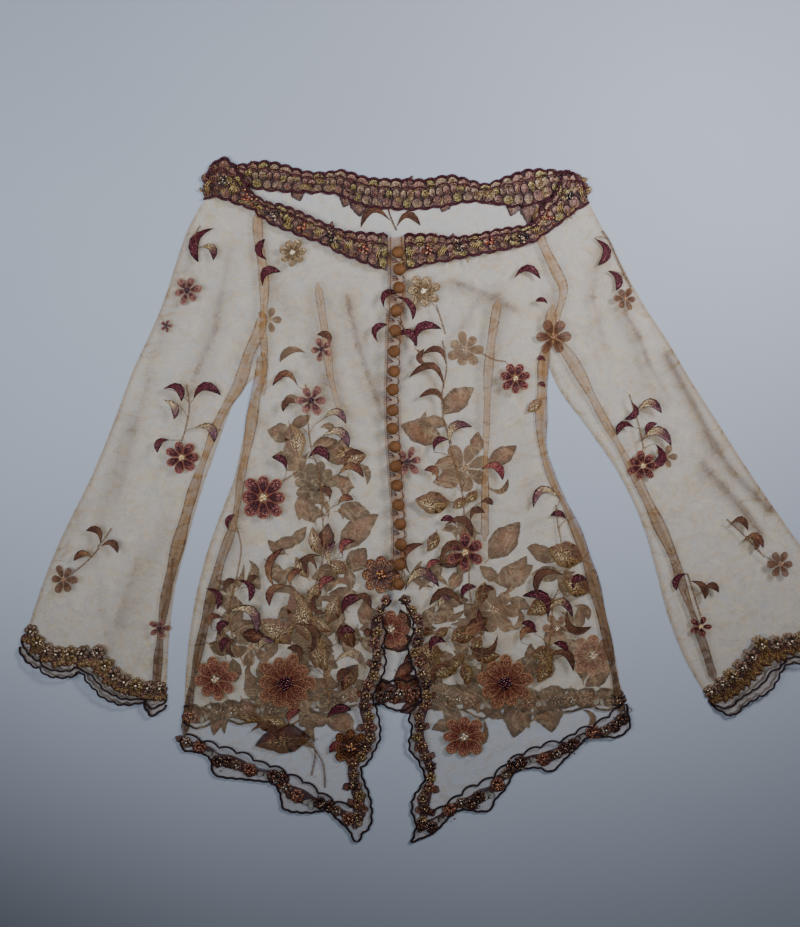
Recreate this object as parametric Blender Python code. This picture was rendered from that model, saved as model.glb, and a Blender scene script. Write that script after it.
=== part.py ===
"""A long-sleeved kebaya blouse of sheer net, laid flat with its front up, as separate closed solids.

The fronts lie over the back, and each sleeve and cuff is an upper layer over an under layer. A
sleeve's upper layer is in three strips that part along both sides of its crown. The corded
borders, the button strip and the covered buttons are pieces of their own. X runs across the
blouse, Y up to the neck and Z away from the surface it lies on. Tables and sizes are in
millimetres, the model in metres.
"""

import math

import bpy
import numpy as np

MM = 0.001
NET = 1.2  # wall of the net panels
BORDER = 1.8  # wall of the corded and beaded borders
STRIP = 2.0  # wall of the button strip
GAP = 0.3  # between neighbouring pieces

FOLD_REACH = 46.0  # how far in from a folded edge the upper layer reaches its full rise
SCALLOP_PITCH = 13.0
SCALLOP_DEPTH = 3.2
NECK_SPACING = 3.3  # between the points of a scalloped edge
LOBE_SPACING = 5.5  # between the points of a lobed edge
LEAST_STEP = 0.35  # shortest run along an edge, as a share of its spacing
EVENNESS = 0.15  # how far a border's cross lines even out, from nearest point to equal shares
SEAM_SAMPLES = 400
STEEPEST_MITRE = 0.4

BUTTON_DIAMETER = 14.5
BUTTON_HEIGHT = 10.0
BUTTON_SIDES = 10
BUTTON_BANDS = 6

ARMHOLE_ROWS = 5  # rows of each front that run along the armhole
SLIT_ROW = 11  # row of each front where the button strip ends and the slit starts
BACK_ROWS = 14  # rows that the back shares with the fronts
BETWEEN_COLUMNS = 2  # steps between the points of a neckline or an armhole
HEAD_BEND = (9, 9, 8, 7, 6)  # how fast a sleeve's under layer leaves its head, column by column
SLEEVE_BEND = 6
PANEL_BEND = 3
STRIP_STOP = 0.04  # how far short of the slit the strip ends, as a share of its last section
CROWN_COLUMNS = (5, 9)  # columns of each sleeve's upper layer between which its crown runs
HEAD_INSET = 2.0  # the strip's head, in from the ends of the neck band
SIDE_RUN_ON = 60  # how far past the hem the side folds are followed
ABOVE = (0, 600)
BELOW = (0, -600)

# Height of the upper layer's underside over the table: at a folded edge, and its rise away from one.
LIFT = (  # y, rest, rise
    (420, 2.1, 2.0), (330, 2.1, 3.5), (270, 2.1, 6.0), (200, 1.5, 10.5), (120, 1.5, 9.5),
    (0, 1.5, 7.5), (-80, 1.5, 8.0), (-118, 2.1, 8.0), (-200, 2.1, 7.0), (-272, 2.1, 3.6),
    (-312, 0.0, 1.4), (-345, 0.0, 0.0), (-460, 0.0, 0.0),
)

# Folds and dart ridges that stand up from the upper layer, or sink into it.
FOLDS = (  # from_x, from_y, to_x, to_y, height, half_width
    (-140, 253, -128, 145, 3.0, 9), (-128, 145, -106, 92, 2.5, 9), (72, 252, 59, 102, 3.0, 9),
    (12, 261, 88, 227, 1.8, 8), (-207, 297, -173, 217, 2.2, 9), (134, 241, 130, 189, 2.6, 10),
    (-108, 239, -68, 110, -1.6, 12), (-225, 37, -233, -69, 1.8, 10), (267, 177, 324, 72, 2.6, 10),
    (324, 72, 390, -4, 2.2, 10), (310, 51, 379, -28, -2.0, 10), (-285, 308, -338, 152, 1.8, 11),
    (-253, 238, -295, 96, 1.6, 10), (-362, 95, -407, -72, 2.0, 12),
    (-314, -23, -373, -167, 1.6, 11), (194, 286, 250, 125, 1.6, 10), (41, -18, 78, -160, 1.4, 12),
    (-124, -21, -159, -164, 1.4, 12),
)

# Left front, a row for each section from the neck down: side seam, then front edge.
FRONT_LEFT = (  # side_x, side_y, edge_x, edge_y
    (-216, 343, -59, 271), (-213, 308, -59, 246), (-206, 267, -60, 219), (-205, 226, -61, 192),
    (-206, 187, -61, 164), (-206, 153, -62, 134), (-219, 118, -61, 98), (-227, 80, -59, 65),
    (-237, 31, -55, 18), (-251, -8, -52, -24), (-265, -46, -52, -65), (-277, -88, -55, -105),
    (-286, -132, -76, -141), (-292, -178, -74, -183), (-295, -223, -89, -237),
    (-295, -250, -82, -276), (-294, -264, -102, -313), (-293, -277, -95, -357),
)
# Right front, the same way.
FRONT_RIGHT = (  # side_x, side_y, edge_x, edge_y
    (118, 314, -37, 272), (125, 294, -37, 247), (139, 269, -39, 220), (145, 245, -40, 193),
    (139, 216, -41, 164), (128, 179, -42, 134), (128, 133, -41, 99), (126, 86, -39, 66),
    (137, 37, -36, 18), (155, -3, -33, -24), (173, -40, -33, -64), (190, -83, -36, -105),
    (204, -132, -11, -140), (213, -170, -14, -176), (219, -203, -1, -227), (222, -215, -9, -266),
    (223, -226, 4, -316), (223, -234, -1, -366),
)
# Lower edge of the neck band over each front, from the armhole to the centre.
NECKLINE_LEFT = (  # x, y
    (-216, 343), (-197, 327), (-176, 319), (-157, 311), (-132, 303), (-114, 292), (-95, 285),
    (-77, 278), (-59, 271),
)
NECKLINE_RIGHT = (  # x, y
    (118, 314), (103, 304), (87, 301), (69, 297), (49, 293), (28, 289), (7, 284), (-15, 281),
    (-37, 272),
)
# Lower edge of the back neck band, left to right.
NECKLINE_BACK = (  # x, y
    (-221, 369), (-202, 367), (-174, 365), (-145, 365), (-118, 362), (-92, 351), (-66, 347),
    (-44, 345), (-19, 346), (8, 350), (36, 355), (60, 354), (86, 350), (113, 352), (137, 365),
)
# Seam between the back and its hem border, left to right.
HEMLINE_BACK = (  # x, y
    (-296, -242), (-277, -247), (-251, -239), (-218, -236), (-176, -230), (-134, -223),
    (-104, -213), (-67, -212), (-34, -203), (2, -214), (32, -216), (79, -218), (126, -220),
    (173, -218), (222, -218),
)
# Outer edge of the back hem border, left to right.
HEM_BACK_EDGE = (  # x, y
    (-296, -262), (-281, -269), (-263, -263), (-249, -256), (-232, -263), (-215, -260),
    (-198, -256), (-182, -262), (-166, -262), (-151, -253), (-137, -248), (-122, -251),
    (-107, -246), (-96, -239), (-80, -241), (-63, -236), (-50, -242), (-36, -244), (-23, -237),
    (-11, -233), (5, -236), (20, -243), (35, -242), (49, -249), (60, -252), (73, -243), (89, -238),
    (105, -242), (121, -246), (136, -240), (150, -243), (167, -241), (183, -235), (200, -240),
    (211, -238), (222, -235),
)
# Seam between each front and its hem border, from the side to the point.
HEMLINE_LEFT = (  # x, y
    (-293, -277), (-270, -286), (-241, -289), (-221, -296), (-205, -309), (-181, -316),
    (-166, -324), (-143, -332), (-126, -349), (-110, -357), (-95, -357),
)
HEMLINE_RIGHT = (  # x, y
    (223, -234), (202, -248), (185, -261), (166, -266), (158, -275), (136, -278), (115, -288),
    (96, -299), (81, -313), (68, -324), (49, -328), (38, -340), (21, -354), (11, -362), (-1, -366),
)
# Lobed outer edge of each front hem border, from the side to the point.
HEM_LEFT_EDGE = (  # x, y
    (-298, -282), (-296, -295), (-281, -297), (-270, -300), (-262, -308), (-257, -325),
    (-223, -329), (-203, -331), (-190, -333), (-182, -341), (-178, -353), (-174, -365),
    (-148, -368), (-124, -365), (-113, -374), (-103, -383), (-97, -389), (-90, -403),
)
HEM_RIGHT_EDGE = (  # x, y
    (227, -233), (228, -243), (231, -259), (221, -270), (207, -271), (193, -268), (181, -271),
    (172, -281), (163, -290), (153, -301), (146, -310), (138, -314), (123, -309), (98, -314),
    (91, -326), (84, -338), (73, -350), (69, -361), (55, -363), (39, -361), (25, -365), (17, -374),
    (7, -385), (-2, -392), (-14, -397), (-25, -402),
)
# Lobed outer edge of the border down each side of the front slit, from the last button.
SLIT_LEFT_EDGE = (  # x, y
    (-51, -112), (-62, -124), (-62, -138), (-58, -153), (-62, -166), (-58, -181), (-60, -197),
    (-68, -215), (-73, -229), (-68, -243), (-64, -262), (-64, -277), (-70, -291), (-78, -307),
    (-86, -313), (-84, -327), (-78, -342), (-74, -356), (-73, -372), (-75, -385), (-83, -391),
    (-88, -403),
)
SLIT_RIGHT_EDGE = (  # x, y
    (-42, -112), (-33, -121), (-27, -135), (-26, -151), (-32, -164), (-30, -180), (-23, -197),
    (-18, -214), (-16, -231), (-25, -240), (-30, -252), (-26, -264), (-29, -279), (-28, -293),
    (-20, -302), (-14, -314), (-10, -325), (-17, -338), (-24, -350), (-25, -367), (-20, -382),
    (-25, -401),
)
# Head of each sleeve, from the shoulder fold to the body: upper layer, then lower layer.
SHOULDER_LEFT = (  # upper_x, upper_y, under_x, under_y
    (-276, 354, -276, 354), (-269, 357, -265, 370), (-256, 356, -254, 382), (-238, 350, -239, 378),
    (-216, 343, -221, 369),
)
SHOULDER_RIGHT = (  # upper_x, upper_y, under_x, under_y
    (175, 354, 175, 354), (169, 350, 163, 368), (157, 343, 155, 376), (140, 329, 147, 374),
    (118, 314, 137, 365),
)
# Each sleeve, a row for each section from the shoulder to the cuff: outer fold, then underarm fold.
SLEEVE_LEFT = (  # outer_x, outer_y, inner_x, inner_y
    (-276, 354, -206, 153), (-293, 323, -223, 139), (-306, 288, -237, 120), (-319, 246, -249, 93),
    (-336, 203, -262, 55), (-359, 153, -273, 24), (-380, 96, -284, -12), (-408, 27, -295, -54),
    (-438, -34, -307, -100), (-461, -88, -314, -156), (-481, -147, -317, -219),
)
SLEEVE_RIGHT = (  # outer_x, outer_y, inner_x, inner_y
    (175, 354, 128, 179), (202, 306, 135, 155), (224, 265, 149, 129), (243, 233, 167, 106),
    (270, 193, 188, 78), (297, 149, 210, 47), (328, 102, 230, 11), (360, 53, 248, -32),
    (392, 7, 262, -79), (421, -33, 275, -126), (448, -68, 295, -176), (471, -102, 319, -218),
)
# Seam between each sleeve and its cuff border, from the outer fold to the underarm.
CUFF_LEFT_SEAM = (  # x, y
    (-481, -147), (-464, -168), (-443, -178), (-416, -178), (-394, -173), (-382, -191),
    (-364, -208), (-341, -219), (-317, -219),
)
CUFF_RIGHT_SEAM = (  # x, y
    (471, -102), (460, -127), (440, -145), (419, -151), (398, -152), (382, -146), (370, -157),
    (357, -176), (338, -203), (319, -218),
)
# Lobed outer edge of each cuff border, from the outer fold to the underarm.
CUFF_LEFT_EDGE = (  # x, y
    (-492, -176), (-485, -187), (-474, -195), (-464, -198), (-457, -205), (-443, -208),
    (-428, -207), (-419, -201), (-411, -205), (-407, -214), (-398, -222), (-392, -230),
    (-375, -238), (-366, -240), (-353, -239), (-342, -238), (-334, -253), (-317, -243),
)
CUFF_RIGHT_EDGE = (  # x, y
    (492, -130), (484, -149), (469, -166), (452, -178), (431, -178), (413, -179), (405, -187),
    (399, -200), (393, -210), (384, -217), (373, -223), (363, -230), (350, -242), (330, -233),
)
# Upper edge of each front neck band, from the shoulder fold to the centre, without its scallops.
NECK_LEFT_EDGE = (  # x, y
    (-270, 378), (-265, 391), (-255, 400), (-245, 396), (-231, 375), (-220, 360), (-201, 348),
    (-183, 345), (-160, 336), (-134, 324), (-118, 317), (-101, 314), (-80, 313), (-59, 311),
)
NECK_RIGHT_EDGE = (  # x, y
    (169, 370), (159, 381), (149, 389), (143, 377), (137, 361), (122, 346), (116, 332), (105, 324),
    (87, 321), (68, 318), (49, 313), (31, 310), (11, 309), (-9, 312), (-23, 312), (-40, 312),
)
# Upper edge of the back neck band, left to right, without its scallops.
NECK_BACK_EDGE = (  # x, y
    (-250, 394), (-230, 393), (-207, 397), (-186, 394), (-159, 386), (-135, 384), (-113, 387),
    (-86, 379), (-59, 377), (-42, 377), (-15, 377), (13, 382), (37, 376), (56, 372), (72, 378),
    (88, 384), (104, 389), (127, 389), (149, 386),
)
# Button centres down the front.
BUTTONS = (  # x, y
    (-47, 292), (-45, 272), (-45, 251), (-48, 224), (-49, 201), (-50, 177), (-50, 154), (-51, 133),
    (-51, 109), (-51, 88), (-48, 67), (-47, 44), (-45, 22), (-43, -1), (-41, -23), (-40, -47),
    (-41, -70), (-42, -93),
)

# Name, colour, roughness, metallic.
NET_FINISH = ("ivory_net", (0.60, 0.50, 0.36), 0.75, 0.0)
BORDER_FINISH = ("corded_border", (0.16, 0.06, 0.04), 0.6, 0.0)
STRIP_FINISH = ("doubled_net", (0.48, 0.32, 0.16), 0.7, 0.0)
BUTTON_FINISH = ("tan_satin", (0.50, 0.30, 0.14), 0.35, 0.0)


def array(rows):
    return np.array(rows, float)


def lengths(line):
    """Share of the line's length at each of its points."""
    steps = np.linalg.norm(np.diff(line, axis=0), axis=1)
    run = np.concatenate([[0.0], np.cumsum(steps)])
    return run / run[-1]


def along(line, shares):
    run = lengths(line)
    return np.stack([np.interp(shares, run, line[:, i]) for i in range(line.shape[1])], axis=-1)


def finer(line, steps):
    """The same straight runs with more points in each."""
    index = np.arange(len(line))
    at = np.linspace(0, len(line) - 1, (len(line) - 1) * steps + 1)
    return np.stack([np.interp(at, index, line[:, i]) for i in range(line.shape[1])], axis=-1)


def rounded(line, steps=6):
    """A smooth curve through the line's points."""
    padded = np.vstack([2 * line[0] - line[1], line, 2 * line[-1] - line[-2]])
    found = []
    for a, b, c, d in zip(padded, padded[1:], padded[2:], padded[3:]):
        for t in np.arange(steps) / steps:
            found.append(0.5 * (2 * b + (c - a) * t + (2 * a - 5 * b + 4 * c - d) * t**2
                                + (3 * b - a - 3 * c + d) * t**3))
    return np.vstack([found, line[-1]])


def normals(line):
    """Left-hand normals at the line's points, long enough to keep a mitred distance of one."""
    runs = np.diff(line, axis=0)
    runs /= np.linalg.norm(runs, axis=1)[:, None]
    sides = np.stack([-runs[:, 1], runs[:, 0]], axis=1)
    before, after = np.vstack([sides[:1], sides]), np.vstack([sides, sides[-1:]])
    middle = before + after
    middle /= np.linalg.norm(middle, axis=1)[:, None]
    return middle / np.clip((middle * after).sum(axis=1), STEEPEST_MITRE, 1)[:, None]


def moved_off(line, toward):
    """The line moved by the seam gap to the side where the point lies."""
    side = normals(line)
    reach = array(toward) - line[len(line) // 2]
    if (side[len(line) // 2] * reach).sum() < 0:
        side = -side
    return line + GAP * side


def distance(points, line):
    """Distance from each point to the nearest run of the line."""
    starts, runs = line[:-1], np.diff(line, axis=0)
    span = (runs**2).sum(axis=1)
    reach = points[:, None, :] - starts[None]
    share = np.clip((reach * runs).sum(axis=2) / span, 0, 1)
    return np.linalg.norm(reach - share[..., None] * runs, axis=2).min(axis=1)


def folded_edges():
    """The lines in plan where the upper and lower layers meet."""
    edges = []
    for sleeve, neck, cuff, front in (
        (SLEEVE_LEFT, NECK_LEFT_EDGE, CUFF_LEFT_EDGE, FRONT_LEFT),
        (SLEEVE_RIGHT, NECK_RIGHT_EDGE, CUFF_RIGHT_EDGE, FRONT_RIGHT),
    ):
        rows, side = array(sleeve), array(front)[ARMHOLE_ROWS:, :2]
        edges.append(np.vstack([array(neck)[2::-1], rows[:, :2], cuff[0]]))
        edges.append(np.vstack([rows[:, 2:], cuff[-1]]))
        edges.append(np.vstack([side, side[-1] - (0, SIDE_RUN_ON)]))
    return edges


EDGES = folded_edges()


def lift(points):
    """Height of the upper layer's underside at points in plan."""
    flat = points.reshape(-1, 2)
    rows = array(LIFT)[::-1]
    rest = np.interp(flat[:, 1], rows[:, 0], rows[:, 1])
    rise = np.interp(flat[:, 1], rows[:, 0], rows[:, 2])
    near = np.min([distance(flat, edge) for edge in EDGES], axis=0)
    share = np.clip(near / FOLD_REACH, 0, 1)
    full = share**2 * (3 - 2 * share)
    height = rest + rise * full
    for from_x, from_y, to_x, to_y, high, wide in FOLDS:
        run = array(((from_x, from_y), (to_x, to_y)))
        off = distance(flat, run) / wide
        height += high * full * np.exp(-off**2)
    return np.maximum(height, rest).reshape(points.shape[:-1])


def body(name, points, faces, finish):
    """One closed mesh with its own finish."""
    mesh = bpy.data.meshes.new(name)
    mesh.from_pydata((points * MM).tolist(), [], faces)
    mesh.validate()
    made = bpy.data.objects.new(name, mesh)
    bpy.context.scene.collection.objects.link(made)
    made.parent = blouse
    title, colour, roughness, metallic = finish
    material = bpy.data.materials.new(f"{name}_{title}")
    material.use_nodes = True
    shader = material.node_tree.nodes["Principled BSDF"]
    shader.inputs["Base Color"].default_value = (*colour, 1)
    shader.inputs["Roughness"].default_value = roughness
    shader.inputs["Metallic"].default_value = metallic
    mesh.materials.append(material)
    return made


def facing_out(points, faces):
    """Turns every face over if the closed surface encloses a negative volume."""
    total = 0.0
    for face in faces:
        a = points[face[0]]
        for b, c in zip(face[1:], face[2:]):
            total += np.dot(a, np.cross(points[b], points[c]))
    return faces if total > 0 else [face[::-1] for face in faces]


def wall(name, plan, thickness, finish, low=None):
    """A panel with a point for each cell of plan: on the table, or on the upper layer if low is given."""
    rows, columns = plan.shape[:2]
    under = np.zeros((rows, columns)) if low is None else low
    count = rows * columns
    flat = plan.reshape(-1, 2)
    points = np.vstack([np.c_[flat, under.ravel()], np.c_[flat, under.ravel() + thickness]])
    faces = []
    for row in range(rows - 1):
        for column in range(columns - 1):
            a = row * columns + column
            b, c, d = a + 1, a + columns + 1, a + columns
            faces += [(a, b, c, d), (d + count, c + count, b + count, a + count)]
    rim = [*range(columns), *((row + 1) * columns - 1 for row in range(1, rows))]
    rim += [*range(count - 2, count - columns - 1, -1)]
    rim += [row * columns for row in range(rows - 2, 0, -1)]
    for a, b in zip(rim, rim[1:] + rim[:1]):
        faces.append((b, a, a + count, b + count))
    return body(name, points, facing_out(points, faces), finish)


def sections(rows, shares, top, bottom, bend):
    """Points of a panel cut across by straight sections, its first and last bent to the lines given."""
    found = []
    for index, row in enumerate(rows):
        down = index / (len(rows) - 1)
        here, first, last = (
            ends[:2] + (ends[2:] - ends[:2]) * shares[:, None] for ends in (row, rows[0], rows[-1])
        )
        fade = ((1 - down) ** bend)[:, None]
        found.append(here + (top - first) * fade + (bottom - last) * down**PANEL_BEND)
    return array(found)


def panel(rows, top, bottom):
    shares = lengths(top)
    return sections(rows, shares, top, along(bottom, shares), np.full(len(top), PANEL_BEND))


def front(table, neckline, hemline):
    return panel(array(table), finer(array(neckline), BETWEEN_COLUMNS), array(hemline))


def back():
    left, right = array(FRONT_LEFT)[1:BACK_ROWS + 1, :2], array(FRONT_RIGHT)[1:BACK_ROWS + 1, :2]
    neck, hem = array(NECKLINE_BACK), array(HEMLINE_BACK)
    left, right = np.vstack([neck[0], left, hem[0]]), np.vstack([neck[-1], right, hem[-1]])
    return panel(np.hstack([left, right]), neck, hem)


def sleeve(table, shoulder, front_table, seam, centre):
    """Upper and under points of a sleeve, from the shoulder and armhole to the cuff seam."""
    head, rows = array(shoulder), array(table)
    layers = []
    for columns in (slice(0, 2), slice(2, 4)):
        armhole = np.vstack([head[-1, columns], array(front_table)[1:ARMHOLE_ROWS + 1, :2]])
        armhole = moved_off(finer(armhole, BETWEEN_COLUMNS), centre)
        layers.append(np.vstack([head[:-1, columns], armhole]))
    shares = lengths(layers[0])
    cuff = along(array(seam), shares)
    bend = np.full(len(shares), SLEEVE_BEND)
    upper = sections(rows, shares, layers[0], cuff, bend)
    bend[:len(HEAD_BEND)] = HEAD_BEND
    return upper, sections(rows, shares, layers[1], cuff, bend)


def matched(seam, edge, spacing):
    """Points along a seam paired with points along the free edge of the border sewn to it."""
    run = lengths(edge)
    seam_run = lengths(seam)
    fine = along(seam, np.linspace(0, 1, SEAM_SAMPLES))
    nearest = [np.argmin(((fine - point) ** 2).sum(axis=1)) / (SEAM_SAMPLES - 1) for point in edge]
    nearest = np.maximum.accumulate(nearest)
    share = np.convolve(np.pad(nearest, 4, mode="edge"), np.ones(9) / 9, mode="valid")
    share = (share - share[0]) / (share[-1] - share[0])
    share = (1 - EVENNESS) * share + EVENNESS * run
    length = np.linalg.norm(np.diff(edge, axis=0), axis=1).sum()
    even = np.linspace(0, 1, max(2, round(length / spacing)) + 1)
    corners = np.interp(seam_run, share, run)
    clear = np.abs(even[:, None] - corners[None]).min(axis=1) > LEAST_STEP * spacing / length
    at = np.sort(np.concatenate([even[clear], corners]))
    return np.stack([along(seam, np.interp(at, run, share)), along(edge, at)], axis=1)


def scalloped(line, outward):
    """The line as a row of even scallops that swell to the side where the point lies."""
    base = rounded(line)
    length = np.linalg.norm(np.diff(base, axis=0), axis=1).sum()
    count = round(length / SCALLOP_PITCH)
    shares = np.linspace(0, 1, count * 4 + 1)
    base = along(base, shares)
    side = normals(base)
    side /= np.linalg.norm(side, axis=1)[:, None]
    reach = array(outward) - base[len(base) // 2]
    if (side[len(base) // 2] * reach).sum() < 0:
        side = -side
    swell = SCALLOP_DEPTH * np.abs(np.sin(math.pi * count * shares))
    return base + swell[:, None] * side


def border(name, seam, edge, spacing, toward, on_table=False):
    """A border sewn along a seam, out to its free edge."""
    plan = matched(moved_off(seam, toward), edge, spacing)
    return wall(name, plan, BORDER, BORDER_FINISH, None if on_table else lift(plan))


def sleeve_walls(name, upper, under):
    """A sleeve's under layer on the table, and its upper layer in strips: outer, crown and inner."""
    wall(f"{name}_under", under, NET, NET_FINISH)
    first, second = CROWN_COLUMNS
    for strip, start, stop in (("outer", 0, first), ("crown", first, second), ("inner", second, -1)):
        plan = upper[:, start:].copy() if stop < 0 else upper[:, start:stop + 1].copy()
        if start > 0:
            across = plan[:, 1] - plan[:, 0]
            plan[:, 0] += GAP * across / np.linalg.norm(across, axis=1)[:, None]
        wall(f"{name}_{strip}", plan, NET, NET_FINISH, lift(plan))


def cuff(name, seam, edge):
    """A cuff border: an under and an upper layer from the sleeve's last section to the lobed edge."""
    plan = matched(moved_off(seam, edge[len(edge) // 2]), rounded(array(edge)), LOBE_SPACING)
    wall(f"{name}_under", plan, BORDER, BORDER_FINISH)
    wall(f"{name}_upper", plan, BORDER, BORDER_FINISH, lift(plan))


def button_strip(left, right):
    """The strip between the fronts' edges, up between the ends of the neck band."""
    rows = []
    for row in range(SLIT_ROW + 1):
        across = right[row, -1] - left[row, -1]
        across *= GAP / np.linalg.norm(across)
        rows.append((left[row, -1] + across, right[row, -1] - across))
    rows = array(rows)
    rows[-1] += STRIP_STOP * (rows[-2] - rows[-1])
    head = array(((NECK_LEFT_EDGE[-1], NECK_RIGHT_EDGE[-1]),))
    head = head + array(((HEAD_INSET, 0.0), (-HEAD_INSET, 0.0)))
    rows = np.vstack([head, rows])
    return wall("button_strip", rows, STRIP, STRIP_FINISH, lift(rows))


def button(number, x, y):
    """A cloth-covered ball button, a little flattened, standing on the strip."""
    name = f"button_{number:02d}"
    points, faces = [(0.0, 0.0, 0.5)], []
    for band in range(1, BUTTON_BANDS):
        tilt = math.pi * band / BUTTON_BANDS
        for side in range(BUTTON_SIDES):
            turn = 2 * math.pi * side / BUTTON_SIDES
            points.append((math.sin(tilt) * math.cos(turn) / 2, math.sin(tilt) * math.sin(turn) / 2,
                           math.cos(tilt) / 2))
    points.append((0.0, 0.0, -0.5))
    for side in range(BUTTON_SIDES):
        following = (side + 1) % BUTTON_SIDES
        faces.append((0, 1 + side, 1 + following))
        for band in range(BUTTON_BANDS - 2):
            a, b = 1 + band * BUTTON_SIDES + side, 1 + band * BUTTON_SIDES + following
            faces.append((a, a + BUTTON_SIDES, b + BUTTON_SIDES, b))
        last = 1 + (BUTTON_BANDS - 2) * BUTTON_SIDES
        faces.append((last + side, len(points) - 1, last + following))
    size = array((BUTTON_DIAMETER, BUTTON_DIAMETER, BUTTON_HEIGHT))
    made = body(name, array(points) * size, facing_out(array(points), faces), BUTTON_FINISH)
    base = float(lift(array(((x, y),)))[0])
    made.location = (x * MM, y * MM, (base + STRIP + GAP + BUTTON_HEIGHT / 2) * MM)


for old in list(bpy.data.objects):
    bpy.data.objects.remove(old, do_unlink=True)
bpy.context.scene.unit_settings.system = "METRIC"

blouse = bpy.data.objects.new("kebaya", None)
bpy.context.scene.collection.objects.link(blouse)

CENTRE = (BUTTONS[0][0], BUTTONS[4][1])
back_plan = back()
left_plan = front(FRONT_LEFT, NECKLINE_LEFT, HEMLINE_LEFT)
right_plan = front(FRONT_RIGHT, NECKLINE_RIGHT, HEMLINE_RIGHT)
wall("back", back_plan, NET, NET_FINISH)
wall("front_left", left_plan, NET, NET_FINISH, lift(left_plan))
wall("front_right", right_plan, NET, NET_FINISH, lift(right_plan))

for side, table, shoulder, front_table, seam, edge in (
    ("left", SLEEVE_LEFT, SHOULDER_LEFT, FRONT_LEFT, CUFF_LEFT_SEAM, CUFF_LEFT_EDGE),
    ("right", SLEEVE_RIGHT, SHOULDER_RIGHT, FRONT_RIGHT, CUFF_RIGHT_SEAM, CUFF_RIGHT_EDGE),
):
    upper, under = sleeve(table, shoulder, front_table, seam, table[2][:2])
    sleeve_walls(f"sleeve_{side}", upper, under)
    cuff(f"cuff_{side}", upper[-1], edge)

for side, plan, shoulder, neck_edge, hem_edge, slit_edge in (
    ("left", left_plan, SHOULDER_LEFT, NECK_LEFT_EDGE, HEM_LEFT_EDGE, SLIT_LEFT_EDGE),
    ("right", right_plan, SHOULDER_RIGHT, NECK_RIGHT_EDGE, HEM_RIGHT_EDGE, SLIT_RIGHT_EDGE),
):
    seam = np.vstack([array(shoulder)[:-1, :2], plan[0]])
    edge = scalloped(array(neck_edge), NECKLINE_BACK[7])
    border(f"neck_{side}", seam, edge, NECK_SPACING, NECKLINE_BACK[7])
    edge = rounded(array(hem_edge))
    border(f"hem_{side}", plan[-1], edge, LOBE_SPACING, (plan[-1, 0, 0], hem_edge[-1][1]))
    slit = plan[SLIT_ROW:, -1]
    edge = rounded(array(slit_edge))
    border(f"slit_{side}", slit, edge, LOBE_SPACING, (BUTTONS[-1][0], slit_edge[-1][1]))

seam = np.vstack([array(SHOULDER_LEFT)[2:-1, 2:], back_plan[0], array(SHOULDER_RIGHT)[-2:1:-1, 2:]])
border("neck_back", seam, scalloped(array(NECK_BACK_EDGE), ABOVE), NECK_SPACING, ABOVE, on_table=True)
border("hem_back", back_plan[-1], rounded(array(HEM_BACK_EDGE)), LOBE_SPACING, BELOW, on_table=True)

button_strip(left_plan, right_plan)
for number, (x, y) in enumerate(BUTTONS, start=1):
    button(number, x, y)

low, high = np.full(3, np.inf), np.full(3, -np.inf)
for piece in blouse.children:
    corners = array(piece.bound_box) + array(piece.location)
    low, high = np.minimum(low, corners.min(axis=0)), np.maximum(high, corners.max(axis=0))
blouse.location = (*(-(low + high) / 2)[:2], 0.0)
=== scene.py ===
"""The looks of a sheer net kebaya blouse, laid flat with its front up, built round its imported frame.

Net panels, corded borders, embroidered sprigs and covered buttons lie where the frame's nodes lie.
Tables and sizes are in millimetres in the blouse's own plan: X across it, Y up to the neck, Z up
from the table. The model is in metres.
"""

import math

import bpy
import numpy as np
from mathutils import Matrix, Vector


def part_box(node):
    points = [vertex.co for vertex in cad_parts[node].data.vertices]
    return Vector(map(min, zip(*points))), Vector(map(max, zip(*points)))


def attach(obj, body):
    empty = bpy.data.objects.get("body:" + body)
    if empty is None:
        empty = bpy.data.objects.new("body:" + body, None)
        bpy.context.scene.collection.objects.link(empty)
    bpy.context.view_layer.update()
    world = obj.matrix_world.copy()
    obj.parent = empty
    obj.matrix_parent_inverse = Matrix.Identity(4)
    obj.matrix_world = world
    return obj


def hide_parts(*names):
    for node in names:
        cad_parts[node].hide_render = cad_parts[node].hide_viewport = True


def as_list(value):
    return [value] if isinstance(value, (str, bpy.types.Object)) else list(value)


MM = 0.001

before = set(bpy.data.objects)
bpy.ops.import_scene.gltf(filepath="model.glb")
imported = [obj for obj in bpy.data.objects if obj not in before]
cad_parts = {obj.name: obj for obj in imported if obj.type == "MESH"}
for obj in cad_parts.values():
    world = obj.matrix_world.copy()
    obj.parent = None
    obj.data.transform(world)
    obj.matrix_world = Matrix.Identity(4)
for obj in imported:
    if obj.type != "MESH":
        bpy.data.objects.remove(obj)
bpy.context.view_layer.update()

# How the layers of net lie, as the frame's pieces do.
NET_MIDDLE = 0.6
TABLE_NET = 0.7  # height of a layer that lies on the table
FOLD_REACH = 46.0  # how far in from a folded edge the upper layer reaches its full rise
CLOSE_REACH = 9.0  # how far in from a folded edge the two layers come together
ARMHOLE_ROWS = 5  # rows of each front that run along the armhole
FRONT_ROWS = 17
SLIT_ROW = 11  # row of each front where the button strip ends and the slit starts
BACK_ROWS = 14  # rows that the back shares with the fronts
HEAD_BEND = (9, 9, 8, 7, 6)  # how fast a sleeve's under layer leaves its head, column by column
SLEEVE_BEND = 6
PANEL_BEND = 3
SIDE_RUN_ON = 60  # how far past the hem the side folds are followed

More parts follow.
